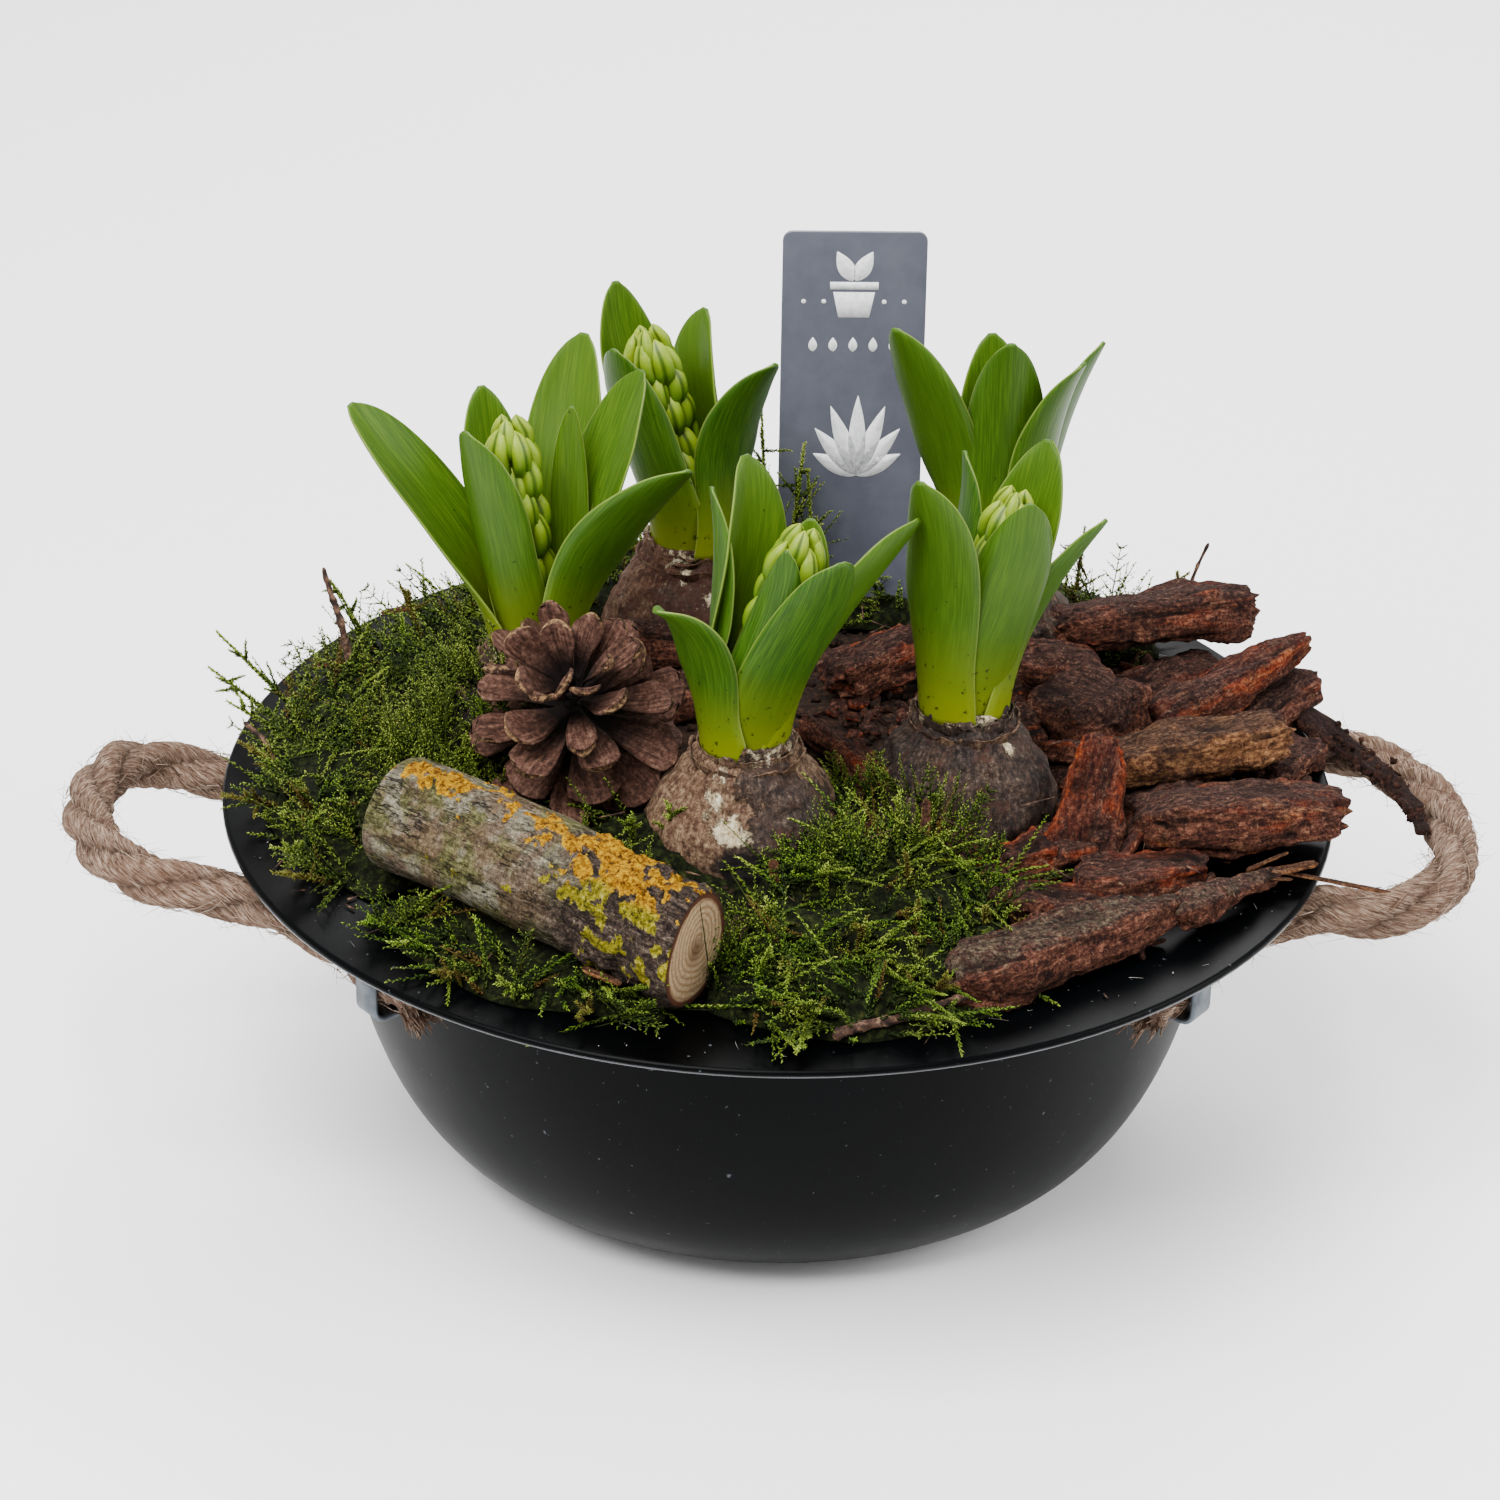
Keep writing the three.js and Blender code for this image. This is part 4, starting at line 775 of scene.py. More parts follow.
def bulbSurface(plant, index):
    # the middle of a bulb, its outline from base to neck and two functions for its rippled skin
    centre = np.array(plant["neck"], float) - up * skin["neck"]
    draw = mulberry(40 + index)
    ripple, phase = 2 + math.floor(draw() * 2), draw() * 6
    profile, _ = throughPoints([(r, z, 0) for r, z in bulbOutline], skin["rows"])

    def rippled(radius, angle, height):
        # the belly swells and sinks by up to 5 % round the bulb
        belly = np.maximum(0, 1 - (height / skin["neck"]) ** 2)
        return radius * (1 + belly * 0.05 * np.sin(ripple * angle + phase))

    def place(angle, height, lift=0.0):
        # a point on the skin at a turn in radians and a height above the bulb's middle
        radius = rippled(np.interp(height, profile[:50, 1], profile[:50, 0]), angle, height)
        return centre + spokes(angle) * ((radius + lift)[..., None]) + height[..., None] * up
    return centre, profile, rippled, place


def bulbShape(plant, index):
    # ripples, wrinkles, ribs, cracks and torn skin edges are added outwards along the spokes
    centre, profile, rippled, _ = bulbSurface(plant, index)
    angle, seed = fullTurn(skin["sides"]), 3 + index
    spoke = spokes(angle)
    radius, height = profile[:, :1], profile[:, 1:2]
    grain = spoke * 15 + up * (height * 0.07 + 9 * index)[..., None]
    body = rippled(radius, angle[None], height)[..., None] * spoke + height[..., None] * up
    tear = fractal(spoke * 9 + up * index, 3, 3, seed)[None]
    layer = sum(skin["ply"] * smooth((height - level - 7 * tear * sign) / 0.8) for level, sign in
                ((-6, 1), (4, 1), (13, -1), (20, 0.6)))
    wrinkle = fractal(body * np.array([0.45, 0.45, 1.5]), 3.4, 3, seed + 2)
    fold = np.abs(fractal(body * np.array([1, 1, 0.28]), 6.5, 3, seed + 4))
    swell = (skin["lumps"] * fractal(body, 15, 3, seed) + skin["ribs"] * fractal(grain, 0.9, 2, seed)
             + 0.85 * wrinkle * (0.2 + smooth((height - 2) / 14)) + 0.35 * fractal(body, 2.4, 2, seed) - layer
             - skin["cracks"] * np.exp(-(fold / 0.07) ** 2)) * smooth(radius / 12)
    body = body + swell[..., None] * spoke + centre
    facing = np.degrees(angle)[None]
    values = {"peel": 0.17 * smooth((height - 19) / 5), "soot": 0.0, "tone": plant["tone"] + plant.get("paler", 0)}
    for kind, strength, turn, high, wide, tall in bulbMarks[plant["name"]]:
        away = ((facing - turn + 180) % 360 - 180) / wide
        values[kind] = values[kind] + strength * np.exp(-away**2 - ((height - high) / tall) ** 2)
    return tubes(body[None], grain=grain, rust=plant.get("rust", 0.0), **values)


def collarShape(plant, index):
    # torn ends of old skins round the foot of the shoot: ragged rings, each a loop carried up the
    # neck and back down inside at a paper's thickness
    centre = bulbSurface(plant, index)[0]
    loop = spokes(fullTurn(110))
    made = []
    for k, (radius, low, tall) in enumerate(((12.7, 24.5, 3.4), (13.7, 23.5, 2.2), (15.6, 20.5, 1.9))):
        ragged = fractal(loop * 13, 3.2, 3, 60 + 5 * index + k)
        top = low + tall * (0.45 + 0.75 * ragged)
        flare = 0.9 * fractal(loop * 13, 5, 2, 90 + 5 * index + k)
        rows = []
        for share, inset, curl in ((-1.4, 0.0, -0.8), (0.0, 0.0, 0.0), (0.6, 0.0, 0.35), (1.0, 0.0, 1.0),
                                   (1.0, 0.35, 1.0), (0.5, 0.35, 0.3), (-1.2, 0.35, -0.8)):
            height = np.maximum(low + (top - low) * share if share > 0 else low + share * 2.2 + 0 * top, low - 4)
            rows.append(loop * (radius - inset + curl * (0.3 + np.maximum(0, flare)) + 0.3 * ragged)[:, None]
                        + up * height[:, None])
        rings = np.array(rows) + centre
        made.append(tubes(rings[None], grain=loop * 15 + up * (40 + k), rust=plant.get("rust", 0.0),
                          tone=min(1, plant["tone"] + 0.25 * k), peel=0.22 - 0.06 * k, soot=0.12 * k))
    return joined(made)


leafFinish, budFinish, tunic = leafMaterial(), budMaterial(), bulbMaterial()
for plantIndex, plant in enumerate(plants):
    tag = plant["name"]
    piece("bulb_skin_" + tag, bulbShape(plant, plantIndex), tunic, "bulb_skin", "bulb_" + tag)
    piece("bulb_collar_" + tag, collarShape(plant, plantIndex), tunic, "bulb_skin")
    order = sorted(range(len(plant["leaves"])), key=lambda i: -plant["leaves"][i][1])
    blades = [leafShape(plant, plant["leaves"][i], layer, i) for layer, i in enumerate(order)]
    piece("shoot_" + tag, joined(blades), leafFinish, "leaf", "leaves_" + tag)
    piece("spike_" + tag, spikeShape(plant), budFinish, "flower_bud", "flower_spike_" + tag)
print("plants made")

# ---- pine cone: open scales on a core by the golden angle

cone = {"at": (-57, -29, 146), "turn": 265, "tilt": 58, "scales": 50, "reach": 27.6, "half": 21, "wide": 7.6,
        "rows": 16, "across": 10, "core": 6}


def coneMaterial():
    # woody scale: purple-brown, redder inside, worn tan on the thick ends, near black at the root as painted shade
    # between the scales
    material, node = begun("pineConeScale", Roughness=0.75, Specular_IOR_Level=0.15)
    fleck = node("noise", node("place"), 620, 5, 0.8)
    fibre = node("share", 0.6, node("noise", node("grain"), 0.9, 5, 0.6), fleck)
    outer = node("ramp", fibre, stops=((0.38, "#150b09"), (0.48, "#33201b"), (0.56, "#543c33"), (0.7, "#76594a")))
    inner = node("ramp", fibre, stops=((0.38, "#1a0e0a"), (0.48, "#3a231a"), (0.56, "#553a2f"), (0.7, "#7a5f50")))
    worn = node("ramp", fleck, stops=((0.4, "#4b3420"), (0.5, "#755838"), (0.62, "#977a52")))
    tint = coated(node, outer, (node("inner"), inner),
                  (node("timesPlus", fleck, 0.5, node("edge")), 1.28, 1.37, 0, 0.75, worn),
                  # painted shade: near black towards each scale's root
                  (node("rise"), 0.25, 0.7, 0.97, 0, "#0a0504"))
    return finished(material, tint, fibre, 0.7, 0.9)


def makeCone(c):
    # Scales are wedges set round the axis by the golden angle: they widen from a narrow root to a
    # thick blunt end. They splay out, sag and twist by chance; some stand edge on.
    axis = around(np.radians(c["tilt"]), direction(c["turn"]), up)
    first = unit(np.cross([0.0, 1, 0], axis))
    second = np.cross(axis, first)
    middle = np.array(c["at"], float)
    index = np.arange(c["scales"])
    rng = np.random.default_rng(8)
    t = (index + 0.5) / c["scales"]
    n = len(t)
    chance = lambda low, high: rng.uniform(low, high, (n, 1, 1))
    angle = np.radians(137.5) * index + rng.normal(0, 0.09, n)
    spoke = around(angle, first, second)
    splay = np.radians(108 - 84 * t**1.5 + rng.normal(0, 7, n))
    heading = spoke * np.sin(splay)[:, None] + axis * np.cos(splay)[:, None]
    side = unit(np.cross(axis, spoke))
    through = unit(np.cross(heading, side))
    through *= np.sign((through * (axis - 0.2 * spoke)).sum(1, keepdims=True))
    twist = rng.normal(0, 0.26, (n, 1)) + 1.15 * (index % 11 == 5)[:, None]
    side, through = side * np.cos(twist) + through * np.sin(twist), through * np.cos(twist) - side * np.sin(twist)
    length = c["reach"] * (0.6 + 0.42 * np.sin(np.pi * (0.25 + 0.66 * t))) * rng.uniform(0.86, 1.08, n)
    root = middle + axis * ((t * 1.8 - 0.95) * c["half"])[:, None] + spoke * 2.5
    u = np.concatenate([np.linspace(0, 0.94, c["rows"] - 2), [0.985, 1.0]])
    s = np.linspace(-1, 1, c["across"])
    across, along = s[None, None], u[None, :, None]
    wide = c["wide"] * (0.3 + 0.7 * smooth(along / 0.85))
    wide = wide * (0.6 + 0.4 * np.sin(np.pi * np.minimum(1, t + 0.18)))[:, None, None]
    wide = wide * chance(0.72, 1.12) * (1 - 0.22 * smooth((along - 0.95) / 0.05))
    # the end is cut to a blunt point, a little askew, and is thickest just behind it
    skew, point = chance(-0.08, 0.08), chance(0.03, 0.14)
    reach = length[:, None, None] * (along - (point * across**2 - skew * across) * smooth((along - 0.45) / 0.55))
    thick = 0.7 + chance(1.3, 2.4) * smooth((along - 0.66) / 0.26) - 1.0 * smooth((along - 0.95) / 0.05)
    curl = chance(-1.0, 3.4) * smooth((along - 0.35) / 0.65) ** 2
    cup = (chance(0.2, 2.2) * across**2 - 0.4) * smooth(along / 0.5)
    lean = rng.normal(0, 0.8, (n, 1, 1)) * along**2
    seen = np.stack(np.broadcast_arrays(reach, wide * across, 37.0 * index[:, None, None]), -1)
    warp = 0.35 * fractal(seen, 4, 2, 5)
    flat = root[:, None, None] + heading[:, None, None] * reach[..., None] \
        + side[:, None, None] * (wide * across + lean)[..., None]
    solid = thick / 2 * (1 - 0.62 * across**2)
    over = (cup - curl + warp + solid)[..., None] * through[:, None, None]
    under = (cup - curl + warp - solid * 1.2)[..., None] * through[:, None, None]
    rings = np.concatenate([flat + over, (flat + under)[:, :, ::-1]], 2)
    wider, face, rise = np.concatenate([s, s[::-1]]), np.repeat([1.0, 0.0], c["across"]), along
    edge = np.maximum(rise + 0.1 * (1 - face) * smooth((rise - 0.7) / 0.2),
                      np.abs(wider) ** 6 * smooth((rise - 0.5) / 0.3) * 0.97)
    grain = np.stack(np.broadcast_arrays(wider * 7, rise * 3.2, index[:, None, None] * 5.1), -1)
    scales = tubes(rings, rise=rise, edge=edge, inner=face, grain=grain)
    core = hairs((middle - axis * c["half"])[None], axis[None], np.array([1.55 * c["half"]]), np.zeros((1, 3)),
                 np.array([c["core"]]), rows=8, sides=14, rise=np.array([0.05]), edge=0.0, inner=0.0,
                 grain=np.zeros((1, 3)))
    piece("pine_cone_scales", joined([scales, core]), coneMaterial(), "cone_scale", "pine_cone")


makeCone(cone)

# ---- branch: a sawn round with smooth grey bark, a rough end and yellow lichen

branch = {"from": (-104, -60, 130), "to": (-21, -129, 128), "radius": 17, "bow": 1.6, "rows": 156, "sides": 112,
          "cap": 10, "slant": 0.22}


def branchMaterial():
    # grey-green bark with fine cracks and powdery patches, golden lichen crust, sawn faces with rings
    material, node = begun("lichenedBark", Roughness=0.9, Specular_IOR_Level=0.12)
    grain, place = node("grain"), node("place")
    streak = node("share", 0.55, node("noise", grain, 0.6, 8, 0.75), node("noise", place, 820, 6, 0.85))
    olive = node("ramp", streak, stops=((0.38, "#151408"), (0.47, "#38361b"), (0.55, "#5c5938"), (0.65, "#8a865f")))
    grey = node("ramp", streak, stops=((0.38, "#221f19"), (0.47, "#514c3f"), (0.55, "#7b7564"), (0.65, "#aea895")))
    brown = node("ramp", streak, stops=((0.4, "#1c130d"), (0.5, "#4d3a2c"), (0.62, "#7b6655")))
    scaly = node("ramp", streak, stops=((0.38, "#060403"), (0.47, "#1e1511"), (0.55, "#463a31"), (0.66, "#8a7f70")))
    # cracks are contour lines of a noise stretched along the branch, broken up by a second noise
    level = node("size", node("less", node("noise", grain, 0.3, 4, 0.6), 0.5))
    crack = node("times", node("range", level, 0.006, 0.022, 1, 0),
                 node("range", node("noise", place, 120, 4, 0.6), 0.42, 0.56, 0, 0.9))
    crust = node("noise", place, 640, 5, 0.8)
    golden = node("ramp", crust, stops=((0.38, "#221300"), (0.46, "#6b4200"), (0.54, "#986d00"), (0.66, "#b49300")))
    greyer = node("ramp", crust, stops=((0.38, "#1e1c05"), (0.47, "#565006"), (0.56, "#7c730d"), (0.68, "#a29a55")))
    rings = node("rings", grain, 0.16, 3.4, 3, 0.5)
    saw = node("noise", grain, 0.9, 6, 0.7)
    wood = coated(node, node("ramp", rings, stops=((0.0, "#8c7152"), (0.5, "#a58b69"), (1.0, "#ae9673"))),
                  (saw, 0.44, 0.64, 0, 0.5, "#6b5038"),
                  (node("radius"), 0.08, 0.34, 0.75, 0, "#4a2f1c"),
                  (node("radius"), 0.86, 0.91, 0, 1, "#4a2a1b"))
    tint = coated(node, olive, (node("noise", place, 70, 6, 0.65), 0.47, 0.54, 0, 1, grey),
                  (node("noise", place, 52, 6, 0.7), 0.5, 0.58, 0, 0.75, brown),
                  (node("rough"), scaly), (crack, "#0b0806"),
                  (node("range", node("timesPlus", crust, 2.6, node("lichen")), 1.68, 1.84, 0, 1),
                   node("mix", node("pale"), golden, greyer)), (node("cut"), wood))
    # the two reliefs are mixed as colours, in grey
    relief = node("mix", node("cut"), node("timesPlus", crack, -0.5, streak), saw)
    return finished(material, tint, relief, 1.2, 1.0)


def makeBranch(b):
    # a bowed round; lichen, cracks and rough bark are laid out by place along it and turn from its top
    start, end = np.array(b["from"], float), np.array(b["to"], float)
    heading = unit(end - start)
    front = unit(np.cross(heading, up))
    front = front if front[1] < 0 else -front
    top = unit(np.cross(front, heading))
    top = top if top[2] > 0 else -top
    inward = np.linspace(0.02, 0.97, b["cap"])
    t = np.concatenate([np.zeros(b["cap"]), np.linspace(0, 1, b["rows"]), np.ones(b["cap"])])[:, None]
    scale = np.concatenate([inward, np.ones(b["rows"]), inward[::-1]])[:, None]
    cut = np.concatenate([np.ones(b["cap"]), np.zeros(b["rows"]), np.ones(b["cap"])])[:, None]
    angle = fullTurn(b["sides"])[None]
    degrees = np.degrees((angle + np.pi) % (2 * np.pi) - np.pi)
    spoke = around(angle, top, front)
    line = start + (end - start) * t + up * b["bow"] * np.sin(np.pi * t)
    length = np.linalg.norm(end - start)
    even = spokes(angle) * b["radius"] + up * (t * length)[..., None]
    stretched = even * np.array([1, 1, 0.16])
    rough = smooth((t - 0.5 + 0.12 * lump(even, 14, 2)) / 0.2)
    patch = lambda at, wide, turn, tall: np.exp(-((t - at) / wide) ** 2 - ((degrees - turn) / tall) ** 2)
    amount = 1.1 * patch(0.16, 0.17, -4, 32) + 1.15 * patch(0.74, 0.24, -2, 40) + 0.85 * patch(0.84, 0.15, 78, 46)
    lichen = smooth((amount + 0.75 * fractal(even, 8, 4, 4) + 0.55 * fractal(even, 2.8, 2, 24) - 0.68) / 0.16)
    pale = smooth((np.abs(degrees) - 34 + 14 * lump(even, 9, 40)) / 16)
    relief = 0.75 * fractal(stretched, 5, 4, 6) + 0.5 * lump(stretched, 15, 9)
    cleft = smooth(1 - np.abs(degrees - 92) / 9) * smooth((0.9 - t) / 0.3) * smooth(t / 0.1)
    relief = relief + rough * 1.5 * fractal(even, 4.2, 3, 12) - 1.2 * cleft
    relief = (relief + lichen * (0.5 + 0.9 * lump(even, 1.7, 15))) * smooth(0.15 + np.minimum(t, 1 - t) / 0.06)
    girth = b["radius"] * (0.985 + 0.02 * np.sin(3 * angle + 2)) + relief - 0.5
    eased = smooth(np.minimum(t, 1 - t) / 0.008) * 0.4 - 0.4
    body = line[:, None] + spoke * ((girth + eased) * scale)[..., None]
    saw = cut * 0.16 * lump(even * scale[..., None], 1.4, 30)
    body = body + heading * saw[..., None]
    # the right cut slants away from the front
    body = body + heading * (b["slant"] * ((body - line[:, None]) @ front) * smooth((t - 0.75) / 0.25))[..., None]
    grain = np.where(cut[..., None] > 0, even * scale[..., None] * np.array([1, 1, 0]) - np.array([2.5, -2, 0]),
                     even * np.array([1, 1, 0.22]) + 40)
    shape = tubes(body[None], grain=grain, cut=cut, rough=rough, lichen=lichen, pale=pale, radius=scale)
    piece("branch_round", shape, branchMaterial(), "branch_bark", "branch")


makeBranch(branch)
print("cone and branch made")

# ---- bark chips: split, layered slabs with frayed ends

# middle, size, turn with pitch and roll, and the look: tone from purple-brown to orange, lichen
# crust, weathered straw, and how much narrower it gets towards the far end
chips = [
    ((110, 64, 133), (64, 25, 15), (21, -2, -14), {"tone": 0.35}),
    ((131, 36, 124.6), (62, 13, 12), (37, 12, 0), {"tone": 0.6, "straw": 0.35, "taper": 0.15}),
    ((112, 47, 118), (44, 24, 12), (24, 2, -8), {"tone": 0.4}),
    ((81, 36, 131), (27, 15, 10), (8, -6, 6), {"tone": 0.3}),
    ((146, 44, 116), (32, 19, 11), (52, 4, 0), {"tone": 0.2}),
    ((90, 17, 124), (34, 30, 22), (-50, 8, 10), {"tone": 0.1}),
    ((118, -7, 126), (58, 23, 13), (21, 4, -12), {"tone": 0.3, "straw": 1.0}),
    ((145, 10, 114.4), (30, 21, 10), (60, 0, 4), {"tone": 0.2}),
    ((130, -36, 121), (60, 25, 15), (9, 1, -10), {"tone": 0.4, "straw": 0.3}),
    ((88, -42, 128), (38, 19, 12), (70, 58, 10), {"tone": 0.7, "taper": 0.5}),
    ((69, -58, 118), (17, 15, 13), (25, 5, 0), {"tone": 0.58}),
    ((101, -62, 116), (38, 18, 10), (14, 0, 0), {"tone": 0.5}),
    ((77, -78, 115), (28, 18, 9), (-8, -3, 0), {"tone": 0.45}),
    ((79, -104, 118), (78, 19, 14), (35, 2, -8), {"tone": 0.1, "crust": 0.35, "taper": 0.36}),
    ((24, -18, 126), (44, 22, 10), (-48, -6, -30), {"tone": 0.4, "taper": -0.2}),
    ((29, 36, 131), (40, 20, 14), (36, 5, -10), {"tone": 0.45}),
    ((-34, 46, 130), (46, 28, 12), (-12, 4, -24), {"tone": 0.3}),
    ((-24, 20, 127), (34, 22, 11), (12, 0, -8), {"tone": 0.3}),
    ((104, -18, 116), (44, 26, 13), (-30, 0, 0), {"tone": 0.2}),
    ((60, 8, 124), (30, 18, 10), (15, 0, 0), {"tone": 0.3}),
]
twigs = [((112, -87, 119), (139, -58, 115), 3.2), ((16, -147, 112.4), (52, -131, 116), 1.7),
         ((-127, 46, 120), (-136, 60, 146), 1.4)]
# thin strips by place, size, turn, pitch, tone and straw: dark ones laid over the rope and the rim,
# straw splinters at the end of the long slab, husks in the moss
strips = [((159, 39, 111), (24, 11, 3.6), -28, -26, -1, 0), ((170, 31, 106.2), (18, 8, 3), -40, -7, -1, 0),
          ((177, 19.5, 105.8), (18, 7, 3), -60, 0, -1, 0), ((182, 6, 105.6), (18, 6, 3), -72, 0, -1, 0),
          ((185, -7, 105), (14, 4.5, 2.5), -82, 0, -1, 0), ((149, -6, 113), (22, 6, 3), 70, 0, 0.2, 0.2),
          ((141, -57, 116), (22, 3.2, 1.4), 16, 4, 0.4, 1.2), ((155, -58, 113.4), (34, 2, 0.9), -16, -2, 0.4, 1.6),
          ((137, -54, 117), (15, 1.3, 0.9), 34, 6, 0.4, 1.6), ((136, -61, 115.6), (16, 1.2, 0.8), -4, 0, 0.4, 1.6)]
strips += [(at, (12, 2.6, 1.3), turn, pitch, 0.8, 1.5) for at, turn, pitch in (
    ((41, -62, 132), 80, 60), ((-0.5, -83, 124), 100, 50), ((21, -83, 124), 60, 40), ((36, -107, 121), 40, 10),
    ((-116, 87, 119), 10, 10), ((-134, 52, 118), 20, 5), ((-100, 45, 118), 120, 20), ((-46, -128, 119), 150, 5))]
bark = {"rows": 52, "sides": 40, "fibre": 0.75, "layers": 0.95, "grit": 0.6, "medium": 60, "small": 330,
        "rotten": 300}


def barkMaterial():
    # pine bark: red-brown corky layers, orange where freshly broken, purple-black on the weather side
    material, node = begun("pineBarkChip", Roughness=0.95, Specular_IOR_Level=0.1)
    grain, place = node("grain"), node("place")
    cork = node("noise", place, 760, 5, 0.8)
    fibre = node("share", 0.5, node("noise", grain, 0.8, 7, 0.75), cork)
    tint = node("ramp", fibre, stops=((0.38, "#0b0504"), (0.46, "#2a1611"), (0.53, "#512f23"), (0.61, "#7d5340"),
                                      (0.7, "#b08a69")))
    coats = []
    # each coat where its value and a cloud of noise together pass a threshold
    for name, share, cloud, limits, stops in (
            ("tone", 0.42, (grain, 0.16, 5, 0.65), (0.69, 0.87, 0, 0.85),
             ((0.38, "#240b05"), (0.5, "#74290f"), (0.62, "#ab5426"))),
            ("straw", 0.4, (grain, 0.2, 5, 0.65), (0.68, 0.86, 0, 0.85),
             ((0.38, "#190d07"), (0.48, "#50321e"), (0.56, "#825a38"), (0.68, "#b08c60"))),
            ("outer", 0.45, (place, 120, 6, 0.7), (0.72, 0.88, 0, 0.7),
             ((0.4, "#0c0808"), (0.52, "#261b19"), (0.64, "#4d3f38")))):
        reach = node("timesPlus", node(name), share, node("noise", *cloud))
        coats.append((reach, *limits, node("ramp", fibre, stops=stops)))
    # lichen crust on the weather side, broken into spots
    spots = node("timesPlus", node("outer"), 0.22, node("noise", place, 260, 7, 0.8))
    spots = node("range", spots, 0.66, 0.76, 0, 1)
    lichen = node("ramp", cork, stops=((0.4, "#1c1711"), (0.5, "#4e4839"), (0.64, "#8f876c")))
    tint = coated(node, tint, *coats,
                  (node("noise", place, 900, 3, 0.7), 0.62, 0.72, 0, 0.5, "#9c8064"),
                  (node("times", node("crust"), spots), lichen),
                  # painted shade: near black in the hollows between fibres and ledges
                  (node("hollow"), 0.15, 0.9, 0, 0.9, "#0b0605"),
                  (node("tone"), -1, -0.5, 0.72, 0, "#0f0807"))
    return finished(material, tint, fibre, 1.6, 1.0)


def eulerFrames(turn, pitch, roll):
    # frames of slabs: turned in plan, then pitched up, then rolled about their length
    a, b, c = np.radians(turn), -np.radians(pitch), np.radians(roll)
    one, none = np.ones_like(a), np.zeros_like(a)
    stack = lambda rows: np.moveaxis(np.array(rows), -1, 0)
    plan = stack([[np.cos(a), -np.sin(a), none], [np.sin(a), np.cos(a), none], [none, none, one]])
    tilt = stack([[np.cos(b), none, np.sin(b)], [none, one, none], [-np.sin(b), none, np.cos(b)]])
    over = stack([[one, none, none], [none, np.cos(c), -np.sin(c)], [none, np.sin(c), np.cos(c)]])
    return plan @ tilt @ over


def slabs(at, size, frames, seed, rows, sides, tone, crust=0.0, straw=0.0, taper=0.0):
    # Superellipse sections along the grain. Noise stretched along the grain cuts fibres and ledges;
    # finer noise across it pulls the broken ends out into splinters.
    at, size, n = np.asarray(at, float), np.asarray(size, float), len(at)
    rng = np.random.default_rng(seed)
    t = np.sin(np.linspace(-np.pi / 2, np.pi / 2, rows))[None, :, None]
    angle = fullTurn(sides)[None, None]
    long, wide, high = [size[:, k, None, None] for k in range(3)]
    power = rng.uniform(5.0, 14.0, (n, 1, 1)) + 1.5 * np.cos(angle + rng.uniform(0, 6, (n, 1, 1)))
    body = np.clip(1 - np.abs(t) ** power, 0.0, 1) ** 0.55
    body = 0.05 + 0.95 * body * (1 + 0.09 * np.sin(3 * t + rng.uniform(0, 6, (n, 1, 1)))) * (1 - taper * t)
    squared = lambda v: np.sign(v) * np.abs(v) ** 0.5
    y = squared(np.cos(angle)) * wide / 2 * body
    z = squared(np.sin(angle)) * high / 2 * body ** 0.85
    y = y + rng.normal(0, 0.03, (n, 1, 1)) * wide * t * 2
    z = z + rng.normal(0, 0.05, (n, 1, 1)) * high * (t**2 - 0.4)
    local = np.stack(np.broadcast_arrays(t * long / 2, y, z), -1)
    # noise is looked up at another place for every piece
    shift = np.arange(n)[:, None, None, None] * np.array([31.0, 17, 5])
    seen = local + shift
    girth = np.minimum(1, high / 9)
    fibres = (bark["fibre"] * fractal(seen * np.array([0.14, 1, 1]), 1.5, 3, seed)
              + bark["grit"] * fractal(seen, 2.4, 3, seed + 1))
    ledge = lump(seen * np.array([0.3, 0.6, 1.4]), 4.5, seed + 3)
    ledges = bark["layers"] * (smooth((ledge - 0.05) / 0.12) + smooth((ledge + 0.35) / 0.1) - 1.2)
    big = 1.2 * lump(seen * np.array([0.6, 1, 1]), 8, seed + 5)
    away = np.broadcast_arrays(0.25 * t, np.cos(angle) / wide * 12, np.sin(angle) / high * 12)
    normal = unit(np.stack(away, -1))
    local = local + normal * ((fibres + ledges + big - 0.4) * girth * body ** 0.5)[..., None]
    ends = lump((local + shift) * np.array([0.05, 1, 1]), 1.9, seed + 8) * smooth((np.abs(t) - 0.55) / 0.45)
    local[..., 0] += ends * long * 0.055 * np.sign(t)
    grain = (local + shift) * np.array([0.2, 1, 1])
    points = np.einsum("nij,nrsj->nrsi", frames, local) + at[:, None, None]
    # how deep a point lies among the fibres and ledges, for the painted shade
    hollow = np.clip(-(fibres + ledges) * 0.5, 0, 1)
    tone, crust, straw = [np.reshape(value, (-1, 1, 1)) for value in (tone, crust, straw)]
    return tubes(points, grain=grain, hollow=hollow, outer=np.sin(angle), tone=tone, crust=crust, straw=straw)


def ground(points):
    # height of the soil or of the rim's top under points, whichever is higher
    return np.maximum(fillHeight(points[..., 0], points[..., 1]), bowl["height"])


def ringOf(rng, n, turns, radii):
    # n chance places by turn in degrees and radius
    return direction(rng.uniform(*turns, n)) * rng.uniform(*radii, n)[:, None]


def boxes(rng, n, *spans):
    # n chance sizes, each within its span along x, y and z
    return np.stack([rng.uniform(*span, n) for span in spans], 1)


def segmentDistance(points, start, end):
    # how far points lie from a straight line between two others
    start, end = np.array(start, float), np.array(end, float)
    t = np.clip(((points - start) @ (end - start)) / ((end - start) @ (end - start)), 0, 1)
    return np.linalg.norm(points - start - t[:, None] * (end - start), axis=1)


chipFrames = eulerFrames(*[np.array([c[2][k] for c in chips], float) for k in range(3)])


clear = {"cone": 25, "bulb": 28, "shoot": 13}  # radii kept open round their middles


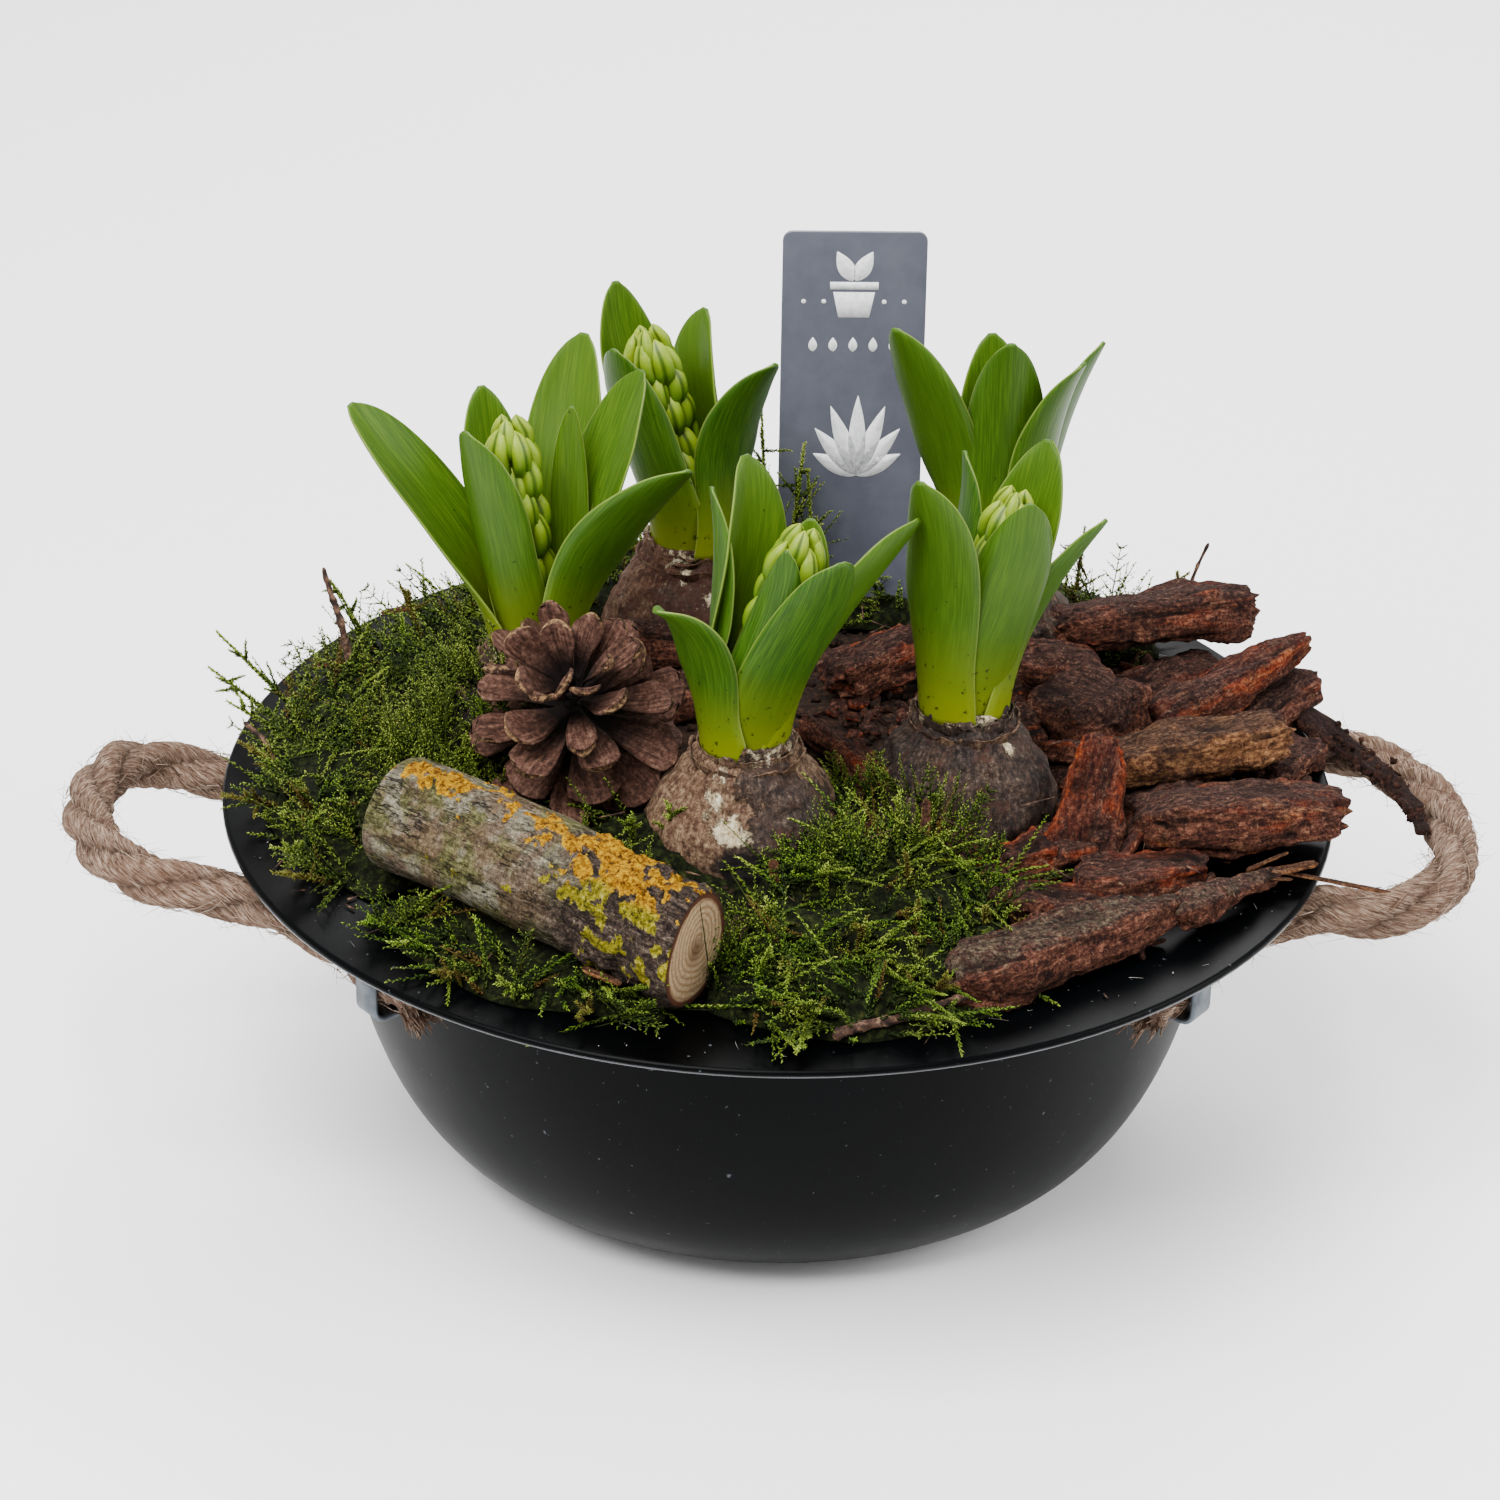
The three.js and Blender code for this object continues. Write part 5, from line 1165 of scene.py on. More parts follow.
def free(points, room=0.0, chipRoom=1.0):
    # true for points that lie outside the bulbs, the shoots, the branch, the cone and the big chips
    good = segmentDistance(points, branch["from"], branch["to"]) > branch["radius"] + room
    good &= np.linalg.norm(points - np.array(cone["at"]), axis=1) > clear["cone"] + room
    for plant in plants:
        neck = np.array(plant["neck"], float)
        good &= np.linalg.norm(points - neck + up * skin["neck"], axis=1) > clear["bulb"] + room
        good &= np.linalg.norm((points - neck)[:, :2], axis=1) > clear["shoot"] + room
    for (at, size, *_), axes in zip(chips, chipFrames):
        inside = np.abs((points - np.array(at)) @ axes) / (np.array(size) / 2) / chipRoom
        good &= inside.max(1) > 1
    return good


def makeBark(material):
    # the large slabs one by one, then broken pieces, crumbs, thin strips and the slab's splinter
    for k, (at, size, _, look) in enumerate(chips):
        shape = slabs([at], [size], chipFrames[k:k + 1], 200 + 13 * k, bark["rows"], bark["sides"], **look)
        piece(f"bark_slab_{k + 1:02d}", shape, material, "pine_bark", f"bark_chip_{k + 1:02d}")
    rng = np.random.default_rng(71)
    # broken pieces that fill the heap between the large slabs
    n = bark["medium"] * 4
    spot = ringOf(rng, n, (-52, 42), (58, 134))
    spot[:, 2] = fillHeight(spot[:, 0], spot[:, 1]) + rng.uniform(0, 6, n)
    spot = spot[free(spot, 3, 0.7) & (spot[:, 1] > -112)][:bark["medium"]]
    n = len(spot)
    size = boxes(rng, n, (12, 28), (7, 14), (4, 8))
    frames = eulerFrames(rng.uniform(0, 360, n), rng.normal(0, 14, n), rng.normal(0, 20, n))
    piece("bark_broken", slabs(spot, size, frames, 501, 16, 13, rng.uniform(0, 0.75, n)), material, "pine_bark")
    n = bark["small"]
    spot = ringOf(rng, n, (-60, 60), (20, 138))
    spot[:, 2] = ground(spot) + rng.uniform(0.5, 3, n)
    spot = spot[free(spot, 1, 0.6)]
    n = len(spot)
    size = boxes(rng, n, (3, 10), (1.8, 5), (1, 2.6))
    frames = eulerFrames(rng.uniform(0, 360, n), rng.normal(0, 18, n), rng.normal(0, 25, n))
    piece("bark_crumbs", slabs(spot, size, frames, 502, 6, 7, rng.uniform(0, 0.6, n)), material, "pine_bark")
    place, size, turn, pitch, tone, straw = [np.array(column, float) for column in zip(*strips)]
    thin = slabs(place, size, eulerFrames(turn, pitch, 0 * turn), 503, 30, 12, tone, 0.0, straw)
    # crumbs of rotten bark cling along the first five strips, spread wider at the start
    n = bark["rotten"]
    share = rng.uniform(0, 4, n)
    near = np.stack([np.interp(share, range(5), place[:5, k]) for k in range(3)], 1)
    near += rng.normal(0, 1, (n, 3)) * (np.array([2.6, 2.6, 1.0]) * (1.15 - 0.2 * share[:, None]))
    loose = crumbs(near, rng.uniform(0.5, 1.7, n), rng, grain=near[:, None, None], hollow=0.2, outer=0.0,
                   tone=-1.0, crust=0.0, straw=0.0)
    piece("bark_strips", joined([thin, loose]), material, "pine_bark")
    # the long slab runs out into a dark splinter of its own
    start, end, radius = twigs[0]
    run = np.array(end, float) - np.array(start, float)
    length = np.linalg.norm(run)
    turn, pitch = np.degrees(np.arctan2(run[1], run[0])), np.degrees(np.arcsin(run[2] / length))
    frames = eulerFrames(*np.array([[turn], [pitch], [10.0]]))
    size = [(length + 7, 2.7 * radius, 2.3 * radius)]
    stem = slabs([(np.array(start) + end) / 2], size, frames, 504, 50, 26, 0.1, 0.2, 0.1, 0.38)
    piece("twig_stem_1", stem, material, "twig_bark", "twig_1")


makeBark(barkMaterial())
print("bark made")

# ---- moss: mats of fine feathery shoots over a dark bed

mosses = [
    {"name": "left", "from": 130, "to": 214, "inner": 76, "outer": 149, "thick": 17,
     "shoots": 760, "fronds": 140, "plumes": 0.4},
    {"name": "front_left", "from": 217, "to": 258, "inner": 104, "outer": 147, "thick": 8,
     "shoots": 260, "fronds": 100, "plumes": 0.6},
    {"name": "front", "from": 262, "to": 306, "inner": 60, "outer": 146, "thick": 21,
     "shoots": 560, "fronds": 190, "plumes": 0.85},
    {"name": "middle", "from": 222, "to": 264, "inner": 56, "outer": 94, "thick": 9,
     "shoots": 110, "fronds": 14, "plumes": 0.8},
    {"name": "back_left", "from": 100, "to": 129, "inner": 98, "outer": 150, "thick": 22,
     "shoots": 190, "fronds": 16, "plumes": 0.3},
    {"name": "back", "from": 66, "to": 99, "inner": 92, "outer": 138, "thick": 16,
     "shoots": 180, "fronds": 14, "plumes": 0.3},
    {"name": "right", "from": 36, "to": 63, "inner": 108, "outer": 147, "thick": 18,
     "shoots": 150, "fronds": 14, "plumes": 0.3},
]
# long sprigs by turn, radius, height and lean outwards
sprigs = {
    "left": [(152, 138, 26, 20), (168, 144, 30, 44), (171, 146, 24, 60), (184, 140, 16, 40), (196, 134, 14, 20),
             (204, 140, 14, 50), (158, 118, 22, 5), (174, 142, 18, 55), (191, 142, 16, 60), (209, 141, 15, 60),
             (146, 130, 20, 12), (137, 126, 22, 10)],
    "front_left": [(222, 141, 10, 50), (236, 142, 9, 60), (250, 142, 9, 60), (229, 140, 10, 55), (243, 141, 9, 50)],
    "front": [(268, 128, 18, 10), (274, 141, 14, 70), (281, 116, 18, 5), (288, 134, 16, 30), (294, 92, 18, 0),
              (300, 112, 14, 10), (278, 96, 20, 0), (270, 104, 16, 0), (284, 84, 22, -10), (296, 76, 22, -8),
              (290, 108, 18, 10), (302, 96, 16, 0)],
    "middle": [(244, 66, 12, 0), (236, 72, 10, 0)],
    "back_left": [(127, 136, 42, 8), (133, 126, 42, 6), (124, 128, 24, 15), (117, 138, 26, 20), (110, 130, 20, 10)],
    "back": [(93, 94, 66, 3), (89, 93, 54, 4), (84, 93, 44, 8), (99, 94, 57, -4), (96, 95, 50, -10),
             (78, 112, 30, 5), (72, 124, 24, 10)],
    "right": [(60, 134, 42, 4), (50, 138, 24, 20), (42, 142, 22, 50), (55, 130, 26, 0)],
}
# leaflets are drawn about twice as coarse as real ones; lengths in mm, bare is a spot left open by
# x, y and radius, plume is the leaflets, their length, the stem and how flat a feathery shoot is
mossLook = {"rows": 50, "bands": 20, "bed": 0.62, "leaflets": 17, "leaf": 1.9, "length": (6, 16), "stem": 0.3,
            "frond": (11, 21), "pairs": 6, "bare": (-18, -85, 18), "plume": (48, 2.5, 0.34, 0.5)}
# clumps that climb round the bulbs and fill in by the branch: middle, spread, shoots, tallest
clumps = [((-99, -18, 118), 12, 70, 36), ((-108, 2, 116), 10, 46, 30), ((12, -75, 118), 12, 36, 26),
          ((45, -62, 118), 12, 36, 24), ((24, -32, 128), 7, 16, 14), ((-42, -71, 122), 7, 14, 12),
          ((-12, -118, 113), 8, 40, 24), ((62, -78, 114), 8, 18, 14), ((6, -104, 115), 17, 60, 17)]
# moss that climbs the bulbs: plant, turns, heights above the bulb's middle, shoots
climbing = [(2, (168, 262), (-10, 22), 150), (0, (296, 340), (-12, 3), 24), (1, (205, 262), (-12, 6), 30)]


def mossMaterial():
    # feather moss: mid green, brown dead parts; darker towards the bed as painted shade, and paler tips brightened
    # as painted highlight
    material, node = begun("featherMoss", Roughness=0.62, Specular_IOR_Level=0.16)
    place = node("place")
    # the mats behind the front one are younger
    depth = node("range", node("depth", place), -0.09, -0.03, 0, 0.09)
    cloud = node("sum", node("noise", place, 60, 3), depth)
    # by height along the shoots: painted shade low down, painted highlight at the tips
    live = node("ramp", node("rise"), stops=((0.0, "#060801"), (0.4, "#172502"), (0.75, "#3c5606"),
                                             (1.0, "#7f9a22")))
    young = node("ramp", node("rise"), stops=((0.0, "#0f1303"), (0.45, "#3b4a0c"), (0.75, "#6e7b22"),
                                              (1.0, "#a9b058")))
    return finished(material, coated(node, live, (cloud, 0.42, 0.66, 0, 0.8, young),
                                     (node("tone"), 0.84, 0.92, 0, 0.85, "#48320f")))


def mossHeight(m, phases, u, v):
    # a point on the top of the mat at u along its turn and v across it, and the ground below it
    narrow = 0.35 + 0.65 * np.sqrt(np.sin(np.pi * (0.08 + 0.84 * u)))
    turn = m["from"] + (m["to"] - m["from"]) * u
    wave = 3 * np.sin(9 * u + phases[0]) + 2 * np.sin(17 * u + phases[1])
    edge = (m["inner"] + m["outer"]) / 2 + v * (m["outer"] - m["inner"]) / 2 * narrow + wave * (1 - v * 0.6)
    spot = direction(turn) * np.minimum(edge, bowl["rim"] - 8)[..., None]
    low = ground(spot) + 0.4
    rim = (1 - v**4) * np.minimum(1, 6 * np.minimum(u, 1 - u) + 0.2)
    steps = round((m["to"] - m["from"]) / 9)
    knobs = 0.82 + 0.18 * np.sin(10 * (v + 1) + phases[2]) * np.cos(3 * u * steps + phases[0])
    return spot, low, low + 0.4 + m["thick"] * rim * knobs * mossLook["bed"]


def chosen(which, *arrays):
    # the same rows of each array
    return [array[which] for array in arrays]


def shoots(roots, headings, lengths, bends, rng, leaflets, leaf, stem, tone, flat=1.0):
    # A stem with leaflets set round it by the golden angle; each leaflet is a slim pyramid that leans
    # towards the tip, and they get shorter upwards. A small flat presses them together like a feather.
    n = len(roots)
    stems = hairs(roots, headings, lengths, bends, stem, rows=2, sides=3, rise=0.35, tone=tone)
    w = ((np.arange(leaflets) + 0.6) / leaflets)[None, :, None]
    centre, along = bowed(roots, headings, lengths, bends, w)
    first = unit(np.cross(along, up + 0.37 * direction(70)))
    second = np.cross(along, first)
    angle = (np.arange(leaflets)[None] * 2.4 + rng.uniform(0, 6.28, (n, 1)) + rng.normal(0, 0.35, (n, leaflets)))
    spoke = around(angle, first, flat * second)
    across = unit(np.cross(along, spoke))
    size = leaf * (1.05 - 0.55 * w) * rng.uniform(0.75, 1.25, (n, leaflets, 1))
    tip = centre + (spoke * 0.62 + along * 0.85) * size
    wide = 0.33 * size
    ring = np.stack([centre - across * wide, centre + across * wide, centre + along * wide * 1.3 + spoke * 0.1], 2)
    points = np.concatenate([ring, tip[:, :, None]], 2).reshape(-1, 3)
    base = (np.arange(n * leaflets) * 4)[:, None, None]
    fans = (np.array([[0, 2, 1], [0, 1, 3], [1, 2, 3], [2, 0, 3]])[None] + base).reshape(-1, 3)
    # leaflet tips lighter as painted highlight, their feet darker as painted shade
    rise = np.clip(0.25 + 0.6 * w + np.zeros((n, leaflets, 1)), 0, 1)
    rise = np.concatenate([np.repeat(rise - 0.1, 3, 2), rise + 0.25], 2).reshape(-1)
    leaves = {"points": points, "quads": np.zeros((0, 4), int), "fans": fans,
              "values": {"rise": rise, "tone": np.repeat(tone, leaflets * 4)}}
    return joined([stems, leaves])


def makeMoss(m, index, fresh, bed):
    # one mat: its bed, then shoots, plumes, fronds and sprigs that root in it
    look = mossLook
    draw = mulberry(60 + index)
    phases = [draw() * 6, draw() * 6, draw() * 6]
    rng = np.random.default_rng(300 + index)
    u = np.linspace(0, 1, look["rows"])[:, None]
    v = np.linspace(-1, 1, look["bands"])[None]
    upper, low, top = mossHeight(m, phases, u + 0 * v, v + 0 * u)
    lower = upper.copy()
    upper[..., 2], lower[..., 2] = top, low
    upper[..., 2] += 1.5 * fractal(upper, 5, 3, 20 + index) * smooth((top - low) / 3)
    bareness = np.exp(-(np.linalg.norm(upper[..., :2] - look["bare"][:2], axis=-1) / 16) ** 4)
    upper[..., 2] = np.maximum(upper[..., 2] - 14 * bareness, low + 0.4)
    rings = np.concatenate([upper, lower[:, ::-1]], 1)
    piece("moss_bed_" + m["name"], tubes(rings[None]), bed, "moss", "moss_" + m["name"])
    # shoots stand all over the bed and lean outwards more near its edge; fronds lie over them
    n = m["shoots"] + m["fronds"]
    a, b = rng.uniform(-0.03, 1.03, n), np.sign(rng.uniform(-1, 1, n)) * rng.uniform(0, 1, n) ** 0.75
    within = np.clip(a, 0, 1)
    roots, _, top = mossHeight(m, phases, within, b)
    # those past either end of the mat are moved on round the bowl
    ends = [direction(m["from"] + (m["to"] - m["from"]) * share) * 110 for share in (a, within)]
    roots[:, :2] += (ends[0] - ends[1])[:, :2]
    out = unit(roots * np.array([1, 1, 0]))
    roots[:, 2] = top - 0.5
    isFrond = np.arange(n) >= m["shoots"]
    swirl = direction(360 * lump(roots, 26, 41) + 360 * rng.uniform(0, 0.4, n))
    lean = out * (0.9 * np.maximum(0, b) ** 3 - 0.5 * np.maximum(0, -b) ** 3)[:, None]
    flatter = np.where(isFrond, 0.55, 1)[:, None]
    headings = unit(lean + swirl * rng.uniform(0.1, 1.15, (n, 1)) + up * rng.uniform(0.3, 1.1, (n, 1)) * flatter)
    lengths = np.where(isFrond, rng.uniform(*look["frond"], n), rng.uniform(*look["length"], n))
    bends = (swirl + rng.normal(0, 0.4, (n, 3))) * (lengths * 0.22)[:, None] - up * (lengths * 0.12)[:, None]
    tips = roots + headings * lengths[:, None] + bends
    # near the rim a tip that would hang past the edge is left out
    good = free(roots, 1, 0.9) & (np.linalg.norm(tips[:, :2], axis=1) < bowl["rim"] - 2) & free(tips, -2, 0.6)
    # the mat stands in tufts with dark hollows between them
    tuft = lump(roots, 8, 50 + index)
    good &= (tuft > -0.35) & (np.linalg.norm(roots[:, :2] - look["bare"][:2], axis=1) > look["bare"][2])
    lengths = lengths * (0.72 + 0.6 * smooth(0.6 + tuft))
    tone = rng.uniform(0, 1, n)
    plume = good & isFrond & (rng.uniform(0, 1, n) < m["plumes"])
    plain, flat = good & ~isFrond, good & isFrond & ~plume
    leaflets, leaf, stem, press = look["plume"]
    made = [shoots(*chosen(plain, roots, headings, lengths, bends), rng, look["leaflets"], look["leaf"],
                   look["stem"], tone[plain]),
            shoots(*chosen(plume, roots, headings, lengths, 2.6 * bends), rng, leaflets, leaf, stem,
                   tone[plume] * 0.86, press),
            fronds(*chosen(flat, roots, headings, lengths, bends), rng, look["pairs"], tone[flat] * 0.8)]
    for turn, radius, height, lean in sprigs[m["name"]]:
        root = direction(turn) * radius
        root = root + up * (ground(root) + 2)
        out, lean = direction(turn + rng.uniform(-22, 22)), math.radians(lean)
        heading = unit(out * math.sin(lean) + up * math.cos(lean))
        bow = direction(turn + 90) * rng.uniform(-4, 4) + direction(turn) * 2 - up
        made.append(sprig(root, heading, height + 4.0, bow, rng))
    piece("moss_shoots_" + m["name"], joined(made), fresh, "moss")


def fronds(roots, headings, lengths, bends, rng, pairs, tone):
    # a main stem with two flat ranks of shorter shoots, like a small fern
    n = len(roots)
    w = np.repeat(np.linspace(0.12, 0.95, pairs), 2)[None, :, None]
    rank = np.tile([-1, 1], pairs)[None, :, None]
    side = unit(np.cross(headings, up + rng.normal(0, 0.5, (n, 3))))[:, None]
    start, along = bowed(roots, headings, lengths, bends, w)
    going = unit(side * rank * 0.9 + along * 0.65 + rng.normal(0, 0.14, (n, 2 * pairs, 3)))
    reach = (lengths[:, None, None] * 0.3 * (1.15 - w) * rng.uniform(0.75, 1.2, (n, 2 * pairs, 1)) + 1.1)[..., 0]
    curve = along * reach[..., None] * 0.25
    side = [value.reshape((n * 2 * pairs,) + value.shape[2:]) for value in (start, going, reach, curve)]
    return joined([shoots(roots, headings, lengths, bends, rng, 16, 1.4, 0.34, tone),
                   shoots(*side, rng, 5, 1.35, 0.2, np.repeat(tone, 2 * pairs))])


def sprig(root, heading, length, bow, rng):
    # one long shoot, thick with leaflets, and a few side shoots that leave it low down
    tone = rng.choice([0.3, 0.6, 0.9])
    main = shoots(root[None], heading[None], np.array([length]), bow[None], rng, int(3.2 * length), 2.4, 0.45,
                  np.array([tone]))
    n = 5 if length < 40 else 11
    w = rng.uniform(0.25, 0.85, (n, 1))
    start = root + heading * length * w + bow * w**2
    going = unit(heading + rng.normal(0, 0.75, (n, 3)))
    reach = length * (1.1 - w[:, 0]) * rng.uniform(0.3, 0.55, n)
    side = shoots(start, going, reach, rng.normal(0, 0.8, (n, 3)), rng, 18, 1.9, 0.3, np.full(n, tone))
    return joined([main, side])


def makeClumps(material):
    # shoots and fronds rooted on the skins of bulbs, then those of the clumps
    rng = np.random.default_rng(77)
    made = []
    for k, turn, height, count in climbing:
        place = bulbSurface(plants[k], k)[-1]
        turn, height = np.radians(rng.uniform(*turn, count)), rng.uniform(*height, count)
        roots = place(turn, height, np.full(count, -0.6))
        headings = unit(spokes(turn) * 0.55 + up * 0.9 + rng.normal(0, 0.3, (count, 3)))
        lengths, bends = rng.uniform(8, 17, count), rng.normal(0, 1.4, (count, 3))
        stalk = roots, headings, lengths, bends, rng.uniform(0, 0.85, count)
        *plain, tone = chosen(slice(count // 3, None), *stalk)
        *flat, flatTone = chosen(slice(count // 3), *stalk)
        made += [shoots(*plain, rng, 18, 1.5, 0.3, tone), fronds(*flat, rng, 6, flatTone)]
    for middle, spread, count, tall in clumps:
        spot = direction(rng.uniform(0, 360, count)) * (spread * np.sqrt(rng.uniform(0, 1, count)))[:, None]
        roots = spot + np.array(middle)
        roots[:, 2] = ground(roots) + 1.5
        roots = roots[free(roots, 0.5, 0.9)]
        n = len(roots)
        headings = unit(rng.normal(0, 0.35, (n, 3)) + up * 1.1)
        lengths = rng.uniform(0.45, 1, n) * tall
        bends = rng.normal(0, 1, (n, 3)) * (lengths * 0.16)[:, None]
        stalk = roots, headings, lengths, bends, rng.uniform(0, 0.85, n)
        *plain, tone = chosen(slice(n * 2 // 3), *stalk)
        *flat, flatTone = chosen(slice(n * 2 // 3, None), *stalk)
        made += [shoots(*plain, rng, 24, 1.6, 0.32, tone), fronds(*flat, rng, 7, flatTone)]
    piece("moss_clumps", joined(made), material, "moss")


freshMoss = mossMaterial()
# the matted brown and dark green layer under the shoots, near black as painted shade deep in the mat
mossBed = plainMaterial("mossBed", (480, 5, 0.7), (
    (0.35, "#030401"), (0.5, "#0c1004"), (0.6, "#1c230a"), (0.74, "#363216")), 1.2, 1.0, Roughness=1.0,
    Specular_IOR_Level=0.1)
for mossIndex, moss in enumerate(mosses):
    makeMoss(moss, mossIndex, freshMoss, mossBed)
makeClumps(freshMoss)
print("moss made")

# ---- plant label: a printed card with plain pictograms

label = {"width": 43, "length": 140, "gauge": 1.2, "corner": 3, "tilt": -2, "turn": 2, "at": (19.5, 103, 97),
         "ink": 0.07}


def labelPlace(points):
    # card coordinates (across, up, out of the front) to the part's frame
    across, height, out = points[..., 0], points[..., 1], points[..., 2]
    tilt, turn = math.radians(label["tilt"]), math.radians(label["turn"])
    y = -out * math.cos(tilt) - height * math.sin(tilt)
    z = height * math.cos(tilt) - out * math.sin(tilt)
    x = across * math.cos(turn) - y * math.sin(turn)
    y = across * math.sin(turn) + y * math.cos(turn)
    return np.stack([x, y, z], -1) + np.array(label["at"])


def plate(outline, low, high, bevel):
    # a flat plate with eased edges from an outline that its middle can see all of
    outline = np.asarray(outline, float)
    middle = outline.mean(0)
    inset = middle + (outline - middle) * (1 - bevel / np.linalg.norm(outline - middle, axis=1).mean())
    steps = ((inset, low), (outline, low + bevel), (outline, high - bevel), (inset, high))
    rings = np.stack([np.insert(line, 2, z, axis=1) for line, z in steps])
    return tubes(labelPlace(rings)[None], *[labelPlace(np.array([[*middle, z]])) for z in (low, high)])


def cardMaterial():
    # coated board: slate print with a satin coat and faint scuffs
    material, node = begun("coatedBoard", Roughness=0.38, Specular_IOR_Level=0.45)
    cloud = node("noise", node("place"), 90, 6, 0.7)
    return finished(material, node("ramp", cloud, stops=((0.3, "#494b56"), (0.7, "#555762"))), cloud, 0.04, 0.4,
                    node("range", cloud, 0.3, 0.7, 0.3, 0.5))


def petal(foot, turn, long, wide, steps=24):
    # a pointed leaf outline from its foot at a turn in degrees
    u = np.linspace(0, 1, steps)
    half = wide / 2 * np.sin(np.pi * u**0.8) ** 0.9
    edge = np.concatenate([np.stack([half, u * long], 1), np.stack([-half, u * long], 1)[-2:0:-1]])
    c, s = math.cos(math.radians(turn)), math.sin(math.radians(turn))
    return edge @ np.array([[c, s], [-s, c]]) + np.array(foot)


def makeLabel(b):
    # a card with rounded top corners and a pointed foot in the soil, its print laid just proud of it
    half, top, r = b["width"] / 2, b["length"], b["corner"]
    turn = np.radians(np.linspace(0, 90, 9))
    right = np.stack([half - r + r * np.cos(turn), top - r + r * np.sin(turn)], 1)
    left = np.stack([r - half - r * np.sin(turn), top - r + r * np.cos(turn)], 1)
    side = np.linspace(24, top - r, 30)[:-1]
    outline = np.concatenate([[(6, 0)], np.stack([half + 0 * side, side], 1), right, left,
                              np.stack([-half + 0 * side, side[::-1]], 1), [(-6, 0)]])
    card = piece("label_card", plate(outline, -b["gauge"] / 2, b["gauge"] / 2, 0.12), cardMaterial(), "label_card",
                 "plant_label")
    card.data.set_sharp_from_angle(angle=math.radians(30))
    low, high = b["gauge"] / 2 - 0.03, b["gauge"] / 2 + b["ink"]
    # a pot with two leaves between dots over a row of drops, and a fan of slim leaves below
    prints = [[(-4.6, 113), (4.6, 113), (6.2, 121), (-6.2, 121)],
              [(-7.2, 121.8), (7.2, 121.8), (7.2, 124.2), (-7.2, 124.2)],
              petal((-0.4, 124.6), 28, 10.5, 5), petal((0.4, 124.6), -28, 10.5, 5)]
    prints += [petal((across, 102), 0, 4.6, 2.6, 14) for across in (-12, -6, 0, 6, 12)]
    prints += [0.7 * spokes(fullTurn(16))[:, :2] + np.array([across, 118]) for across in (-15, -9, 9, 15)]
    prints += [petal((2, 62), lean, long, 5.2) for lean, long in (
        (-62, 15), (-40, 20), (-20, 24), (0, 26), (20, 24), (40, 20), (62, 15))]
    # opaque white ink, slightly uneven
    ink = plainMaterial("whiteInk", (700, 3), ((0.3, "#cfd0d4"), (0.7, "#eeeeef")), Roughness=0.5)
    piece("label_print", joined([plate(line, low, high, 0.02) for line in prints]), ink, "label_card")


makeLabel(label)

# ---- twigs and stray bits

litter = {"needles": 150, "flakes": 130, "lint": 40}
stalks = [((-144, -1, 112.5), (-155, 9, 121), 1.1), ((47, 112, 120), (50, 114, 160), 0.7),
          ((118, 88, 114), (128, 92, 145), 0.8), ((-20, 110, 120), (-26, 112, 158), 0.7)]


def twigShape(start, end, radius, seed, rows=48, sides=14):
    # a bowed round with swollen nodes and a rough skin
    start, end = np.array(start, float), np.array(end, float)
    heading = unit(end - start)
    first = unit(np.cross(heading, direction(33)))
    second = np.cross(heading, first)
    t = np.linspace(0, 1, rows)[:, None]
    line = start + (end - start) * t + up * radius * 0.8 * np.sin(np.pi * t)
    line = line + first * 0.5 * radius * np.sin(7 * t + seed)
    ring = around(fullTurn(sides)[None], first, second)
    knots = 0.3 * np.abs(np.sin(np.pi * t * np.linalg.norm(end - start) / 7 + seed)) ** 8
    girth = radius * (1 - 0.45 * t) * (0.9 + knots + np.zeros((1, sides)))
    rough = 0.14 * radius * lump(line[:, None] + ring * girth[..., None], 1.3, seed)
    girth = (girth + rough) * (0.5 + 0.5 * smooth(np.minimum(t, 1 - t) / 0.03))
    return tubes((line[:, None] + ring * girth[..., None])[None])


